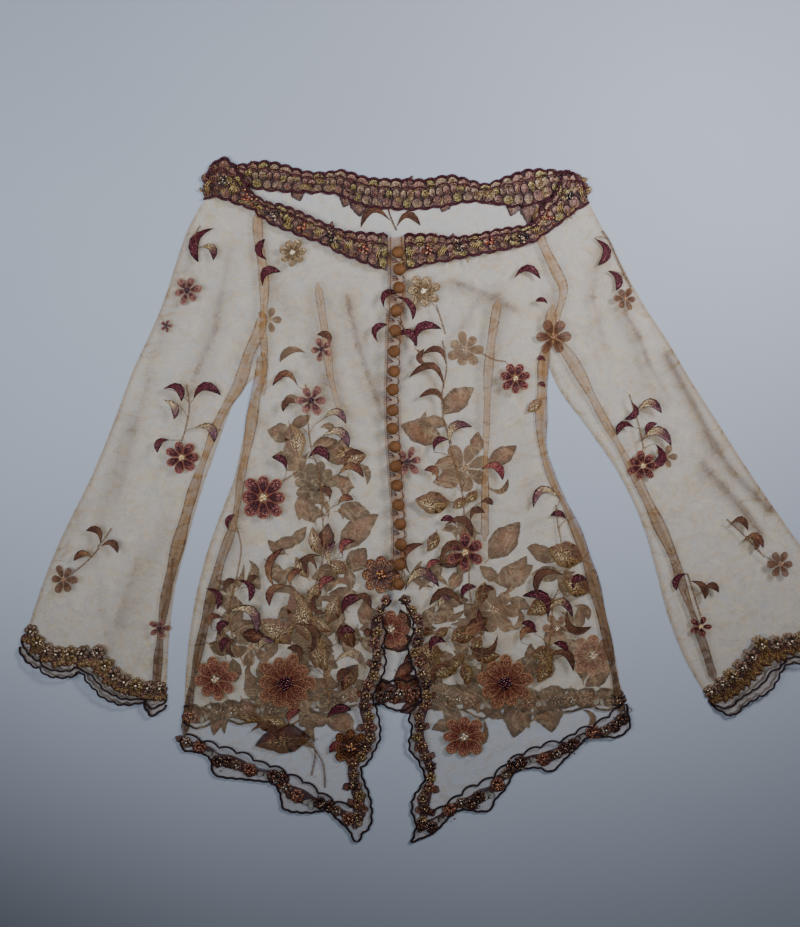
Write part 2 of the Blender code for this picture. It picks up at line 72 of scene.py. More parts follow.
NET_STEP = 3.6  # between the points of a net panel
BORDER_STEP = 3.0
BORDER_COLUMNS = 10
SCALLOP_PITCH = 13.0
SCALLOP_DEPTH = 3.2
SEAM_SPARE = 9  # how far inside the side seams loose leaves stay
CLUMP_SHARE = 0.62  # of a clump's count that is sewn, which leaves gaps
LOOSE_LENGTH = (24, 40)  # of a clump's leaves and commas
LOOSE_WIDTH = (0.4, 0.54)  # of a clump's leaf, as a share of its length
LOOSE_CURL = 0.3
EVENNESS = 0.15  # how far a border's cross lines even out, from nearest point to equal shares
SEAM_SAMPLES = 400
MAP_STEP = 2.5  # of the grid that heights are read from
MAP_CORNER = (-510, -420)
MAP_POINTS = (409, 337)

# Height of the upper layer's underside over the table: at a folded edge, and its rise away from one.
LIFT = (  # y, rest, rise
    (420, 2.1, 2.0), (330, 2.1, 3.5), (270, 2.1, 6.0), (200, 1.5, 10.5), (120, 1.5, 9.5),
    (0, 1.5, 7.5), (-80, 1.5, 8.0), (-118, 2.1, 8.0), (-200, 2.1, 7.0), (-272, 2.1, 3.6),
    (-312, 0.0, 1.4), (-345, 0.0, 0.0), (-460, 0.0, 0.0),
)
# Folds and dart ridges that stand up from the upper layer, or sink into it.
FOLDS = (  # from_x, from_y, to_x, to_y, height, half_width
    (-140, 253, -128, 145, 3.0, 9), (-128, 145, -106, 92, 2.5, 9), (72, 252, 59, 102, 3.0, 9),
    (12, 261, 88, 227, 1.8, 8), (-207, 297, -173, 217, 2.2, 9), (134, 241, 130, 189, 2.6, 10),
    (-108, 239, -68, 110, -1.6, 12), (-225, 37, -233, -69, 1.8, 10), (267, 177, 324, 72, 2.6, 10),
    (324, 72, 390, -4, 2.2, 10), (310, 51, 379, -28, -2.0, 10), (-285, 308, -338, 152, 1.8, 11),
    (-253, 238, -295, 96, 1.6, 10), (-362, 95, -407, -72, 2.0, 12),
    (-314, -23, -373, -167, 1.6, 11), (194, 286, 250, 125, 1.6, 10), (41, -18, 78, -160, 1.4, 12),
    (-124, -21, -159, -164, 1.4, 12),
)
# Left front, a row for each section from the neck down: side seam, then front edge.
FRONT_LEFT = (  # side_x, side_y, edge_x, edge_y
    (-216, 343, -59, 271), (-213, 308, -59, 246), (-206, 267, -60, 219), (-205, 226, -61, 192),
    (-206, 187, -61, 164), (-206, 153, -62, 134), (-219, 118, -61, 98), (-227, 80, -59, 65),
    (-237, 31, -55, 18), (-251, -8, -52, -24), (-265, -46, -52, -65), (-277, -88, -55, -105),
    (-286, -132, -76, -141), (-292, -178, -74, -183), (-295, -223, -89, -237),
    (-295, -250, -82, -276), (-294, -264, -102, -313), (-293, -277, -95, -357),
)
# Right front, the same way.
FRONT_RIGHT = (  # side_x, side_y, edge_x, edge_y
    (118, 314, -37, 272), (125, 294, -37, 247), (139, 269, -39, 220), (145, 245, -40, 193),
    (139, 216, -41, 164), (128, 179, -42, 134), (128, 133, -41, 99), (126, 86, -39, 66),
    (137, 37, -36, 18), (155, -3, -33, -24), (173, -40, -33, -64), (190, -83, -36, -105),
    (204, -132, -11, -140), (213, -170, -14, -176), (219, -203, -1, -227), (222, -215, -9, -266),
    (223, -226, 4, -316), (223, -234, -1, -366),
)
# Lower edge of the neck band over each front, from the armhole to the centre.
NECKLINE_LEFT = (  # x, y
    (-216, 343), (-197, 327), (-176, 319), (-157, 311), (-132, 303), (-114, 292), (-95, 285),
    (-77, 278), (-59, 271),
)
NECKLINE_RIGHT = (  # x, y
    (118, 314), (103, 304), (87, 301), (69, 297), (49, 293), (28, 289), (7, 284), (-15, 281),
    (-37, 272),
)
# Lower edge of the back neck band, left to right.
NECKLINE_BACK = (  # x, y
    (-221, 369), (-202, 367), (-174, 365), (-145, 365), (-118, 362), (-92, 351), (-66, 347),
    (-44, 345), (-19, 346), (8, 350), (36, 355), (60, 354), (86, 350), (113, 352), (137, 365),
)
# Seam between the back and its hem border, left to right.
HEMLINE_BACK = (  # x, y
    (-296, -242), (-277, -247), (-251, -239), (-218, -236), (-176, -230), (-134, -223),
    (-104, -213), (-67, -212), (-34, -203), (2, -214), (32, -216), (79, -218), (126, -220),
    (173, -218), (222, -218),
)
# Outer edge of the back hem border, left to right.
HEM_BACK_EDGE = (  # x, y
    (-296, -262), (-281, -269), (-263, -263), (-249, -256), (-232, -263), (-215, -260),
    (-198, -256), (-182, -262), (-166, -262), (-151, -253), (-137, -248), (-122, -251),
    (-107, -246), (-96, -239), (-80, -241), (-63, -236), (-50, -242), (-36, -244), (-23, -237),
    (-11, -233), (5, -236), (20, -243), (35, -242), (49, -249), (60, -252), (73, -243), (89, -238),
    (105, -242), (121, -246), (136, -240), (150, -243), (167, -241), (183, -235), (200, -240),
    (211, -238), (222, -235),
)
# Seam between each front and its hem border, from the side to the point.
HEMLINE_LEFT = (  # x, y
    (-293, -277), (-270, -286), (-241, -289), (-221, -296), (-205, -309), (-181, -316),
    (-166, -324), (-143, -332), (-126, -349), (-110, -357), (-95, -357),
)
HEMLINE_RIGHT = (  # x, y
    (223, -234), (202, -248), (185, -261), (166, -266), (158, -275), (136, -278), (115, -288),
    (96, -299), (81, -313), (68, -324), (49, -328), (38, -340), (21, -354), (11, -362), (-1, -366),
)
# Lobed outer edge of each front hem border, from the side to the point.
HEM_LEFT_EDGE = (  # x, y
    (-298, -282), (-296, -295), (-281, -297), (-270, -300), (-262, -308), (-257, -325),
    (-223, -329), (-203, -331), (-190, -333), (-182, -341), (-178, -353), (-174, -365),
    (-148, -368), (-124, -365), (-113, -374), (-103, -383), (-97, -389), (-90, -403),
)
HEM_RIGHT_EDGE = (  # x, y
    (227, -233), (228, -243), (231, -259), (221, -270), (207, -271), (193, -268), (181, -271),
    (172, -281), (163, -290), (153, -301), (146, -310), (138, -314), (123, -309), (98, -314),
    (91, -326), (84, -338), (73, -350), (69, -361), (55, -363), (39, -361), (25, -365), (17, -374),
    (7, -385), (-2, -392), (-14, -397), (-25, -402),
)
# Lobed outer edge of the border down each side of the front slit, from the last button.
SLIT_LEFT_EDGE = (  # x, y
    (-51, -112), (-62, -124), (-62, -138), (-58, -153), (-62, -166), (-58, -181), (-60, -197),
    (-68, -215), (-73, -229), (-68, -243), (-64, -262), (-64, -277), (-70, -291), (-78, -307),
    (-86, -313), (-84, -327), (-78, -342), (-74, -356), (-73, -372), (-75, -385), (-83, -391),
    (-88, -403),
)
SLIT_RIGHT_EDGE = (  # x, y
    (-42, -112), (-33, -121), (-27, -135), (-26, -151), (-32, -164), (-30, -180), (-23, -197),
    (-18, -214), (-16, -231), (-25, -240), (-30, -252), (-26, -264), (-29, -279), (-28, -293),
    (-20, -302), (-14, -314), (-10, -325), (-17, -338), (-24, -350), (-25, -367), (-20, -382),
    (-25, -401),
)
# Head of each sleeve, from the shoulder fold to the body: upper layer, then lower layer.
SHOULDER_LEFT = (  # upper_x, upper_y, under_x, under_y
    (-276, 354, -276, 354), (-269, 357, -265, 370), (-256, 356, -254, 382), (-238, 350, -239, 378),
    (-216, 343, -221, 369),
)
SHOULDER_RIGHT = (  # upper_x, upper_y, under_x, under_y
    (175, 354, 175, 354), (169, 350, 163, 368), (157, 343, 155, 376), (140, 329, 147, 374),
    (118, 314, 137, 365),
)
# Each sleeve, a row for each section from the shoulder to the cuff: outer fold, then underarm fold.
SLEEVE_LEFT = (  # outer_x, outer_y, inner_x, inner_y
    (-276, 354, -206, 153), (-293, 323, -223, 139), (-306, 288, -237, 120), (-319, 246, -249, 93),
    (-336, 203, -262, 55), (-359, 153, -273, 24), (-380, 96, -284, -12), (-408, 27, -295, -54),
    (-438, -34, -307, -100), (-461, -88, -314, -156), (-481, -147, -317, -219),
)
SLEEVE_RIGHT = (  # outer_x, outer_y, inner_x, inner_y
    (175, 354, 128, 179), (202, 306, 135, 155), (224, 265, 149, 129), (243, 233, 167, 106),
    (270, 193, 188, 78), (297, 149, 210, 47), (328, 102, 230, 11), (360, 53, 248, -32),
    (392, 7, 262, -79), (421, -33, 275, -126), (448, -68, 295, -176), (471, -102, 319, -218),
)
# Seam between each sleeve and its cuff border, from the outer fold to the underarm.
CUFF_LEFT_SEAM = (  # x, y
    (-481, -147), (-464, -168), (-443, -178), (-416, -178), (-394, -173), (-382, -191),
    (-364, -208), (-341, -219), (-317, -219),
)
CUFF_RIGHT_SEAM = (  # x, y
    (471, -102), (460, -127), (440, -145), (419, -151), (398, -152), (382, -146), (370, -157),
    (357, -176), (338, -203), (319, -218),
)
# Lobed outer edge of each cuff border, from the outer fold to the underarm.
CUFF_LEFT_EDGE = (  # x, y
    (-492, -176), (-485, -187), (-474, -195), (-464, -198), (-457, -205), (-443, -208),
    (-428, -207), (-419, -201), (-411, -205), (-407, -214), (-398, -222), (-392, -230),
    (-375, -238), (-366, -240), (-353, -239), (-342, -238), (-334, -253), (-317, -243),
)
CUFF_RIGHT_EDGE = (  # x, y
    (492, -130), (484, -149), (469, -166), (452, -178), (431, -178), (413, -179), (405, -187),
    (399, -200), (393, -210), (384, -217), (373, -223), (363, -230), (350, -242), (330, -233),
)
# Upper edge of each front neck band, from the shoulder fold to the centre, without its scallops.
NECK_LEFT_EDGE = (  # x, y
    (-270, 378), (-265, 391), (-255, 400), (-245, 396), (-231, 375), (-220, 360), (-201, 348),
    (-183, 345), (-160, 336), (-134, 324), (-118, 317), (-101, 314), (-80, 313), (-59, 311),
)
NECK_RIGHT_EDGE = (  # x, y
    (169, 370), (159, 381), (149, 389), (143, 377), (137, 361), (122, 346), (116, 332), (105, 324),
    (87, 321), (68, 318), (49, 313), (31, 310), (11, 309), (-9, 312), (-23, 312), (-40, 312),
)
# Upper edge of the back neck band, left to right, without its scallops.
NECK_BACK_EDGE = (  # x, y
    (-250, 394), (-230, 393), (-207, 397), (-186, 394), (-159, 386), (-135, 384), (-113, 387),
    (-86, 379), (-59, 377), (-42, 377), (-15, 377), (13, 382), (37, 376), (56, 372), (72, 378),
    (88, 384), (104, 389), (127, 389), (149, 386),
)
# Button centres down the front.
BUTTONS = (  # x, y
    (-47, 292), (-45, 272), (-45, 251), (-48, 224), (-49, 201), (-50, 177), (-50, 154), (-51, 133),
    (-51, 109), (-51, 88), (-48, 67), (-47, 44), (-45, 22), (-43, -1), (-41, -23), (-40, -47),
    (-41, -70), (-42, -93),
)
CREASES = (  # from_x, from_y, to_x, to_y, height, half_width
    (-106, 242, -91, 182, 0.9, 4), (-91, 182, -72, 128, 0.9, 4), (-72, 128, -62, 98, 0.7, 4),
    (-122, 192, -116, 140, 0.7, 3), (-116, 140, -103, 104, 0.7, 3), (17, 260, 54, 246, 0.9, 4),
    (54, 246, 90, 227, 0.8, 4), (47, 238, 28, 206, 0.8, 4), (28, 206, 11, 190, 0.7, 4),
    (215, 228, 233, 199, 1.0, 4), (233, 199, 245, 166, 1.0, 4), (245, 166, 271, 123, 0.9, 4),
    (267, 178, 299, 122, 1.0, 4), (299, 122, 325, 72, 1.0, 4), (325, 72, 344, 44, 0.9, 4),
    (344, 44, 393, -4, 0.8, 4), (310, 51, 334, 26, -0.9, 5), (334, 26, 362, -5, -0.9, 5),
    (362, -5, 380, -28, -0.8, 5), (-244, 296, -258, 202, 0.8, 5), (-258, 202, -284, 143, 0.7, 5),
    (-338, 142, -355, 83, 0.7, 5), (-355, 83, -374, 0, 0.6, 5), (-445, -72, -409, -1, 0.5, 6),
    (-350, -71, -373, -143, 0.8, 6), (-397, -108, -383, -179, -0.6, 5), (189, 312, 179, 242, 0.8, 5),
    (179, 242, 196, 172, 0.7, 5), (-205, 97, -160, -21, 0.4, 8), (-159, -98, -182, -164, 0.5, 6),
    (99, 100, 112, -17, 0.4, 8), (-20, 240, -5, 99, 0.4, 8), (148, -64, 173, -159, 0.5, 6),
)
# Flowers, leaves, commas and stems of the embroidery, on the upper or the under layer.
FLOWERS = (  # layer, x, y, radius, petals, turn, threads
    ("front", -170, 292, 16.5, 7, 10, "gilt"), ("front", -17, 248, 20.1, 7, 20, "gilt"),
    ("back", 33, 182, 21.2, 7, 0, "rust"), ("front", 91, 148, 18.9, 7, 15, "maroon"),
    ("front", -146, 120, 18.9, 6, 0, "rose"), ("front", -134, 179, 14.2, 5, 40, "rose"),
    ("front", -202, 6, 28.3, 8, 0, "maroon"), ("front", -33, 50, 17.7, 6, 10, "rose"),
    ("front", 35, -55, 23.6, 6, 30, "maroon"), ("front", -63, -83, 23.6, 8, 0, "copper"),
    ("back", -142, 24, 26, 10, 0, "dusk"), ("back", 34, 43, 30.7, 7, 20, "rust"),
    ("front", -257, -209, 27.1, 8, 10, "coral"), ("front", -174, -212, 35.4, 10, 0, "rosewood"),
    ("back", -216, -172, 26, 6, 20, "rust"), ("front", 84, -208, 33, 9, 10, "rosewood"),
    ("back", -51, -149, 24.8, 8, 0, "coral"), ("back", 71, -125, 29.5, 7, 0, "rust"),
    ("back", 188, -177, 27.1, 8, 0, "coral"), ("front", 37, -274, 27.1, 8, 0, "coral"),
    ("front", -97, -289, 23.6, 8, 0, "copper"), ("front", 135, 197, 21.2, 6, 0, "rust"),
    ("back", -198, 215, 15.3, 5, 0, "rust"), ("back", 145, -145, 17.7, 6, 0, "coral"),
    ("back", 41, -225, 9.4, 5, 0, "rust"), ("front", -293, 247, 17.7, 6, 10, "rose"),
    ("front", -318, 206, 8.3, 5, 0, "rose"), ("front", -298, 52, 20.1, 7, 0, "maroon"),
    ("front", -438, -94, 17.7, 6, 0, "rust"), ("front", -325, -151, 13, 5, 0, "rose"),
    ("front", 218, 242, 14.2, 6, 0, "rust"), ("front", 241, 48, 17.7, 7, 0, "maroon"),
    ("back", 270, 59, 14.2, 5, 0, "rust"), ("front", 402, -65, 16.5, 6, 0, "rust"),
    ("front", 311, -139, 13, 5, 0, "maroon"),
)
LEAVES = (  # layer, base_x, base_y, tip_x, tip_y, width, threads
    ("back", -169, 82, -199, 85, 21.2, "brown"), ("front", -171, 92, -160, 52, 21.2, "gold"),
    ("back", 9, 106, 44, 137, 23.6, "rust"), ("back", 1, 81, -41, 93, 26, "rust"),
    ("front", 17, 3, -24, 6, 23.6, "gold"), ("back", 64, -64, 100, -20, 28.3, "rust"),
    ("back", 70, -90, 116, -71, 26, "rust"), ("back", -111, -57, -67, -13, 26, "rust"),
    ("front", -125, -56, -125, -23, 16.5, "brown"), ("front", -103, -82, -124, -68, 14.2, "gold"),
    ("back", -98, -82, -81, -53, 23.6, "brown"), ("front", -166, -101, -147, -162, 26, "gold"),
    ("back", -150, -104, -133, -123, 16.5, "brown"), ("back", -164, -126, -185, -138, 14.2, "brown"),
    ("front", -168, -166, -204, -138, 23.6, "gold"), ("back", -147, -163, -118, -177, 18.9, "brown"),
    ("back", -140, -175, -113, -196, 18.9, "brown"), ("back", -149, -149, -135, -166, 16.5, "brown"),
    ("back", -116, -151, -97, -170, 16.5, "brown"), ("front", -144, -279, -210, -289, 31.9, "olive"),
    ("front", -201, -255, -232, -251, 13, "gold"), ("back", -137, -249, -158, -266, 23.6, "brown"),
    ("front", 174, -64, 132, -50, 27.1, "gold"), ("front", 181, -102, 150, -85, 23.6, "gold"),
    ("front", 17, -144, 0, -161, 10.6, "gold"), ("front", 36, -175, 20, -194, 11.8, "gold"),
    ("front", 55, -153, 43, -170, 10.6, "gold"), ("back", 19, -118, 0, -142, 16.5, "brown"),
    ("back", 140, -183, 126, -207, 15.3, "brown"), ("front", 140, -171, 121, -188, 11.8, "gold"),
    ("back", 101, -224, 96, -276, 30.7, "brown"), ("back", 127, -226, 141, -269, 30.7, "brown"),
    ("back", 169, -220, 188, -239, 16.5, "brown"), ("front", 124, 124, 106, 110, 11.8, "gold"),
    ("front", 36, 8, 20, -4, 10.6, "gold"), ("front", 48, 17, 34, 3, 10.6, "gold"),
)
COMMAS = (  # layer, base_x, base_y, tip_x, tip_y, width, bulge, threads
    ("front", -161, 135, -193, 136, 10.6, -0.35, "tan"),
    ("front", -132, 98, -105, 93, 11.8, 0.3, "two"), ("front", -133, 78, -102, 65, 14.2, 0.28, "two"),
    ("front", -149, 53, -125, 50, 14.2, 0.3, "maroon"),
    ("front", -175, 38, -192, 53, 10.6, -0.2, "maroon"), ("front", -115, 32, -84, 30, 11.8, 0.3, "tan"),
    ("front", -114, -1, -96, 4, 10.6, 0.2, "tan"), ("back", -161, 121, -179, 116, 10.6, -0.2, "brown"),
    ("back", -137, 88, -120, 84, 10.6, 0.2, "brown"),
    ("front", -199, 283, -202, 308, 11.8, 0.25, "maroon"),
    ("front", -204, 252, -183, 269, 13, 0.3, "maroon"),
    ("front", -50, 241, -29, 214, 9.4, 0.2, "maroon"), ("front", -26, 182, 5, 204, 13, 0.3, "maroon"),
    ("front", -52, 193, -24, 183, 11.8, 0.3, "maroon"),
    ("front", 10, 163, -17, 175, 9.4, -0.3, "brown"), ("front", 9, 134, -33, 147, 10.6, -0.35, "brown"),
    ("front", 9, 113, -21, 124, 9.4, -0.3, "brown"), ("front", 16, 69, 42, 91, 13, 0.3, "two"),
    ("front", 88, 263, 119, 263, 10.6, 0.3, "maroon"),
    ("front", 127, 234, 113, 237, 7.1, -0.2, "maroon"),
    ("front", 127, 169, 117, 171, 7.1, -0.2, "maroon"),
    ("front", 127, 138, 119, 142, 7.1, -0.2, "maroon"), ("front", -2, 61, 14, 76, 9.4, 0.25, "maroon"),
    ("front", 52, 41, 78, 29, 13, 0.3, "rose"), ("front", 24, -23, 6, -19, 9.4, -0.2, "maroon"),
    ("front", 53, 3, 67, 0, 9.4, 0.2, "brown"), ("front", 147, 8, 114, -3, 11.8, -0.35, "two"),
    ("front", 154, -17, 135, -12, 9.4, -0.2, "maroon"),
    ("front", 151, -81, 119, -105, 13, -0.3, "brown"),
    ("front", 132, -133, 102, -106, 14.2, -0.3, "maroon"),
    ("front", 130, -125, 162, -130, 11.8, 0.35, "two"),
    ("back", 165, -118, 182, -135, 11.8, 0.2, "brown"),
    ("front", 118, -150, 102, -138, 10.6, -0.2, "maroon"),
    ("front", 156, -175, 140, -161, 10.6, -0.2, "maroon"),
    ("front", -28, -82, -13, -46, 11.8, 0.3, "tan"), ("front", -35, -102, 6, -97, 15.3, 0.35, "two"),
    ("front", -8, -81, 6, -66, 9.4, 0.2, "rose"), ("front", 7, -123, 21, -109, 11.8, 0.25, "two"),
    ("front", 33, -111, 49, -96, 10.6, 0.25, "maroon"),
    ("front", -243, -34, -236, -15, 8.3, 0.2, "maroon"),
    ("front", -185, -102, -177, -53, 11.8, 0.2, "tan"),
    ("front", -169, -99, -154, -78, 10.6, 0.2, "tan"),
    ("front", -171, -98, -193, -122, 11.8, -0.25, "tan"),
    ("front", -247, -105, -233, -92, 9.4, 0.2, "brown"),
    ("front", -218, -100, -207, -87, 9.4, 0.2, "brown"),
    ("front", -232, -91, -218, -117, 10.6, 0.25, "maroon"),
    ("front", -270, -103, -256, -127, 10.6, 0.25, "maroon"),
    ("front", -261, -151, -249, -136, 9.4, 0.4, "tan"),
    ("front", -251, -158, -240, -143, 11.8, 0.3, "maroon"),
    ("front", -244, -130, -209, -156, 15.3, 0.32, "two"),
    ("front", -133, -106, -116, -89, 11.8, 0.25, "rose"),
    ("front", -107, -130, -85, -111, 15.3, 0.2, "maroon"),
    ("front", -121, -75, -116, -44, 9.4, 0.15, "two"),
    ("front", -125, -254, -96, -244, 14.2, 0.15, "maroon"),
    ("front", -170, -262, -156, -245, 11.8, 0.2, "rose"),
    ("front", -111, -213, -97, -196, 11.8, 0.2, "brown"),
    ("front", -62, 228, -46, 246, 10.6, 0.3, "maroon"),
    ("front", -69, 188, -58, 209, 10.6, 0.3, "maroon"),
    ("back", -154, 176, -185, 165, 11.8, -0.2, "brown"),
    ("back", -56, 331, -91, 323, 10.6, -0.35, "brown"),
    ("back", -49, 324, -21, 326, 10.6, 0.35, "brown"),
    ("front", -96, -289, -122, -297, 14.2, -0.2, "rose"),
    ("front", -126, 182, -140, 196, 10.6, -0.3, "brown"),
    ("front", -10, 162, -15, 181, 9.4, 0.3, "brown"),
    ("front", -161, 116, -179, 106, 10.6, -0.3, "brown"),
    ("front", -107, -63, -93, -44, 10.6, 0.3, "rose"),
    ("front", -97, -115, -74, -122, 11.8, 0.3, "brown"),
    ("front", -232, -165, -249, -177, 11.8, -0.3, "maroon"),
    ("front", -204, -176, -187, -164, 11.8, 0.3, "two"),
    ("front", -158, -188, -173, -171, 11.8, -0.3, "brown"),
    ("front", -111, -163, -92, -151, 13, 0.3, "maroon"),
    ("front", -4, -173, 14, -161, 11.8, 0.3, "maroon"),
    ("front", 54, -113, 70, -98, 11.8, 0.3, "brown"), ("front", 102, -160, 121, -148, 11.8, 0.3, "tan"),
    ("front", 162, -99, 179, -87, 11.8, 0.3, "maroon"), ("front", 41, -18, 58, -9, 10.6, 0.3, "brown"),
    ("front", 1, 28, -14, 40, 10.6, -0.3, "tan"), ("front", -124, 3, -139, 15, 10.6, -0.3, "brown"),
    ("back", -108, -20, -93, -4, 11.8, 0.3, "brown"), ("back", 25, -42, 8, -31, 11.8, -0.3, "brown"),
    ("back", 124, -65, 108, -51, 11.8, -0.3, "brown"),
    ("back", -240, -117, -254, -105, 11.8, -0.3, "brown"),
    ("front", -263, 320, -280, 280, 15.3, -0.25, "maroon"),
    ("front", -280, 298, -263, 282, 11.8, 0.3, "two"),
    ("front", -319, 132, -298, 117, 13, 0.3, "maroon"),
    ("front", -319, 119, -307, 96, 11.8, 0.2, "two"),
    ("front", -284, 119, -253, 125, 13, 0.3, "maroon"), ("front", -284, 86, -262, 70, 13, 0.3, "two"),
    ("front", -312, 72, -326, 57, 10.6, -0.25, "maroon"),
    ("front", -393, -51, -412, -36, 10.6, -0.3, "brown"),
    ("front", -393, -54, -373, -62, 10.6, 0.3, "brown"),
    ("front", -402, -67, -426, -72, 10.6, -0.2, "tan"),
    ("front", 254, 74, 247, 46, 14.2, 0.3, "maroon"),
    ("front", 225, 123, 218, 102, 10.6, 0.3, "maroon"),
    ("front", 361, -33, 372, -49, 10.6, 0.3, "brown"),
    ("front", 313, -97, 331, -99, 10.6, 0.3, "brown"), ("front", 181, 312, 185, 280, 13, 0.3, "maroon"),
    ("front", 197, 274, 207, 251, 11.8, 0.25, "maroon"), ("front", 232, 109, 261, 109, 13, 0.3, "two"),
    ("front", 244, 83, 256, 97, 9.4, 0.2, "maroon"), ("front", 237, 76, 273, 71, 14.2, 0.3, "two"),
    ("front", 230, 92, 211, 83, 10.6, -0.3, "maroon"),
    ("front", 343, -19, 364, -26, 10.6, 0.3, "brown"), ("front", 358, -38, 382, -47, 10.6, 0.3, "tan"),
    ("front", 295, -77, 284, -98, 9.4, -0.2, "maroon"),
    ("front", 298, -86, 315, -107, 10.6, 0.2, "brown"),
)
# Where leaves and commas crowd together: layer, x, y, spread, count, leaf.
CLUMPS = (  # layer, x, y, spread, count, leaf
    ("back", -118, -163, 35.4, 12, "brown"), ("back", -140, -121, 28.3, 9, "brown"),
    ("back", -90, -75, 21.2, 5, "brown"), ("back", -189, 83, 18.9, 4, "brown"),
    ("back", -141, 31, 26, 9, "rust"), ("front", -125, 39, 21.2, 4, "gold"),
    ("back", 2, -147, 33, 11, "brown"), ("back", 28, -101, 23.6, 6, "brown"),
    ("back", 133, -216, 30.7, 9, "brown"), ("back", 149, -126, 26, 6, "brown"),
    ("back", 48, 38, 23.6, 7, "rust"), ("back", -230, -174, 21.2, 5, "brown"),
    ("back", -230, -108, 18.9, 4, "brown"), ("back", 194, -192, 18.9, 4, "brown"),
    ("front", -135, -149, 26, 6, "gold"), ("front", 22, -180, 33, 9, "gold"),
    ("front", 6, -19, 16.5, 3, "gold"), ("front", 42, -127, 21.2, 4, "gold"),
    ("front", 144, -164, 18.9, 4, "gold"), ("back", -111, -235, 23.6, 5, "rust"),
    ("front", -159, -130, 23.6, 6, "gold"), ("front", 26, -163, 30.7, 9, "gold"),
    ("front", -124, -63, 14.2, 3, "gold"), ("back", -100, -127, 28.3, 9, "brown"),
    ("back", -171, -164, 30.7, 9, "brown"), ("back", -247, -189, 23.6, 6, "brown"),
    ("back", -239, -225, 28.3, 6, "rust"), ("back", 78, -160, 28.3, 8, "rust"),
    ("back", 43, -184, 26, 8, "brown"), ("back", 103, -231, 30.7, 8, "brown"),
    ("back", 173, -218, 23.6, 6, "brown"), ("back", -5, -114, 23.6, 7, "brown"),
    ("back", -28, -174, 14.2, 4, "rust"), ("back", -80, -162, 16.5, 5, "rust"),
    ("back", 8, -221, 23.6, 6, "brown"), ("back", -126, -21, 18.9, 6, "brown"),
    ("back", -159, -68, 23.6, 5, "brown"), ("back", 42, -66, 23.6, 6, "rust"),
    ("back", 12, 76, 16.5, 5, "rust"), ("back", 68, -101, 23.6, 6, "brown"),
    ("back", -153, 67, 21.2, 6, "rust"), ("back", 148, -64, 21.2, 6, "brown"),
    ("back", 165, -159, 21.2, 6, "brown"), ("back", -110, 39, 14.2, 4, "brown"),
    ("front", -145, -87, 14.2, 3, "gold"), ("front", 148, -116, 16.5, 3, "gold"),
    ("back", -214, -69, 16.5, 4, "brown"), ("back", -271, -165, 11.8, 4, "brown"),
    ("back", -158, -223, 35.4, 8, "brown"), ("front", -222, -256, 18.9, 3, "gold"),
    ("front", -237, -160, 16.5, 3, "brown"), ("front", -97, -175, 18.9, 4, "olive"),
    ("front", 78, -136, 16.5, 3, "olive"), ("front", -5, -66, 14.2, 3, "olive"),
    ("back", -158, -254, 30.7, 6, "brown"), ("back", -211, -243, 21.2, 4, "brown"),
    ("back", -15, -243, 18.9, 4, "brown"), ("back", 44, -246, 26, 5, "brown"),
    ("back", -259, -117, 11.8, 3, "brown"),
)
STEMS = (  # layer, thread, points
    ("front", "7a5a40", ((-152, 139), (-150, 121), (-152, 104), (-146, 69), (-139, 48))),
    ("front", "866648", (
        (-139, 48), (-134, 3), (-129, -44), (-138, -92), (-145, -128), (-132, -175), (-122, -235))),
    ("front", "7a5a40", ((6, 191), (10, 159), (7, 129), (9, 96), (17, 70))),
    ("front", "866648", ((17, 70), (32, 5), (37, -42), (42, -101), (55, -160), (61, -232))),
    ("front", "7a5a40", ((-1, 233), (8, 198))), ("front", "8a6a4c", ((51, 176), (65, 168), (80, 167))),
    ("front", "7a5a40", ((-23, 180), (-17, 164))), ("front", "4a2a28", ((-45, 215), (-33, 194))),
    ("front", "8a6c4c", ((-144, -283), (-140, -297), (-143, -325))),
    ("front", "7a5a40", ((-147, -279), (-131, -307), (-128, -339))),
    ("front", "8a6a4c", ((-162, 38), (-179, 26), (-193, 19))),
    ("front", "8a6a4c", (
        (-236, -22), (-226, -52), (-233, -87), (-240, -129), (-235, -165), (-223, -193))),
    ("front", "8a6a4c", ((142, 1), (147, -41), (153, -82), (139, -112), (135, -159), (133, -188))),
    ("front", "7a5a40", ((-280, 324), (-285, 310), (-280, 298))),
    ("front", "7a5a40", ((-291, 137), (-288, 114), (-293, 90), (-298, 72))),
    ("front", "7a5a40", ((-381, -32), (-388, -45), (-395, -55))),
    ("front", "7a5a40", ((-395, -55), (-412, -74), (-426, -86))),
    ("front", "7a5a40", ((-309, -68), (-314, -106), (-322, -137))),
    ("front", "7a5a40", ((190, 321), (200, 308), (213, 283), (225, 256))),
    ("front", "7a5a40", ((223, 131), (230, 113), (235, 96), (240, 67))),
    ("front", "7a5a40", ((339, -13), (358, -32), (384, -56))),
    ("front", "7a5a40", ((295, -77), (303, -107), (311, -126))),
    ("back", "5a4030", ((-60, 347), (-55, 335), (-48, 321))),
)
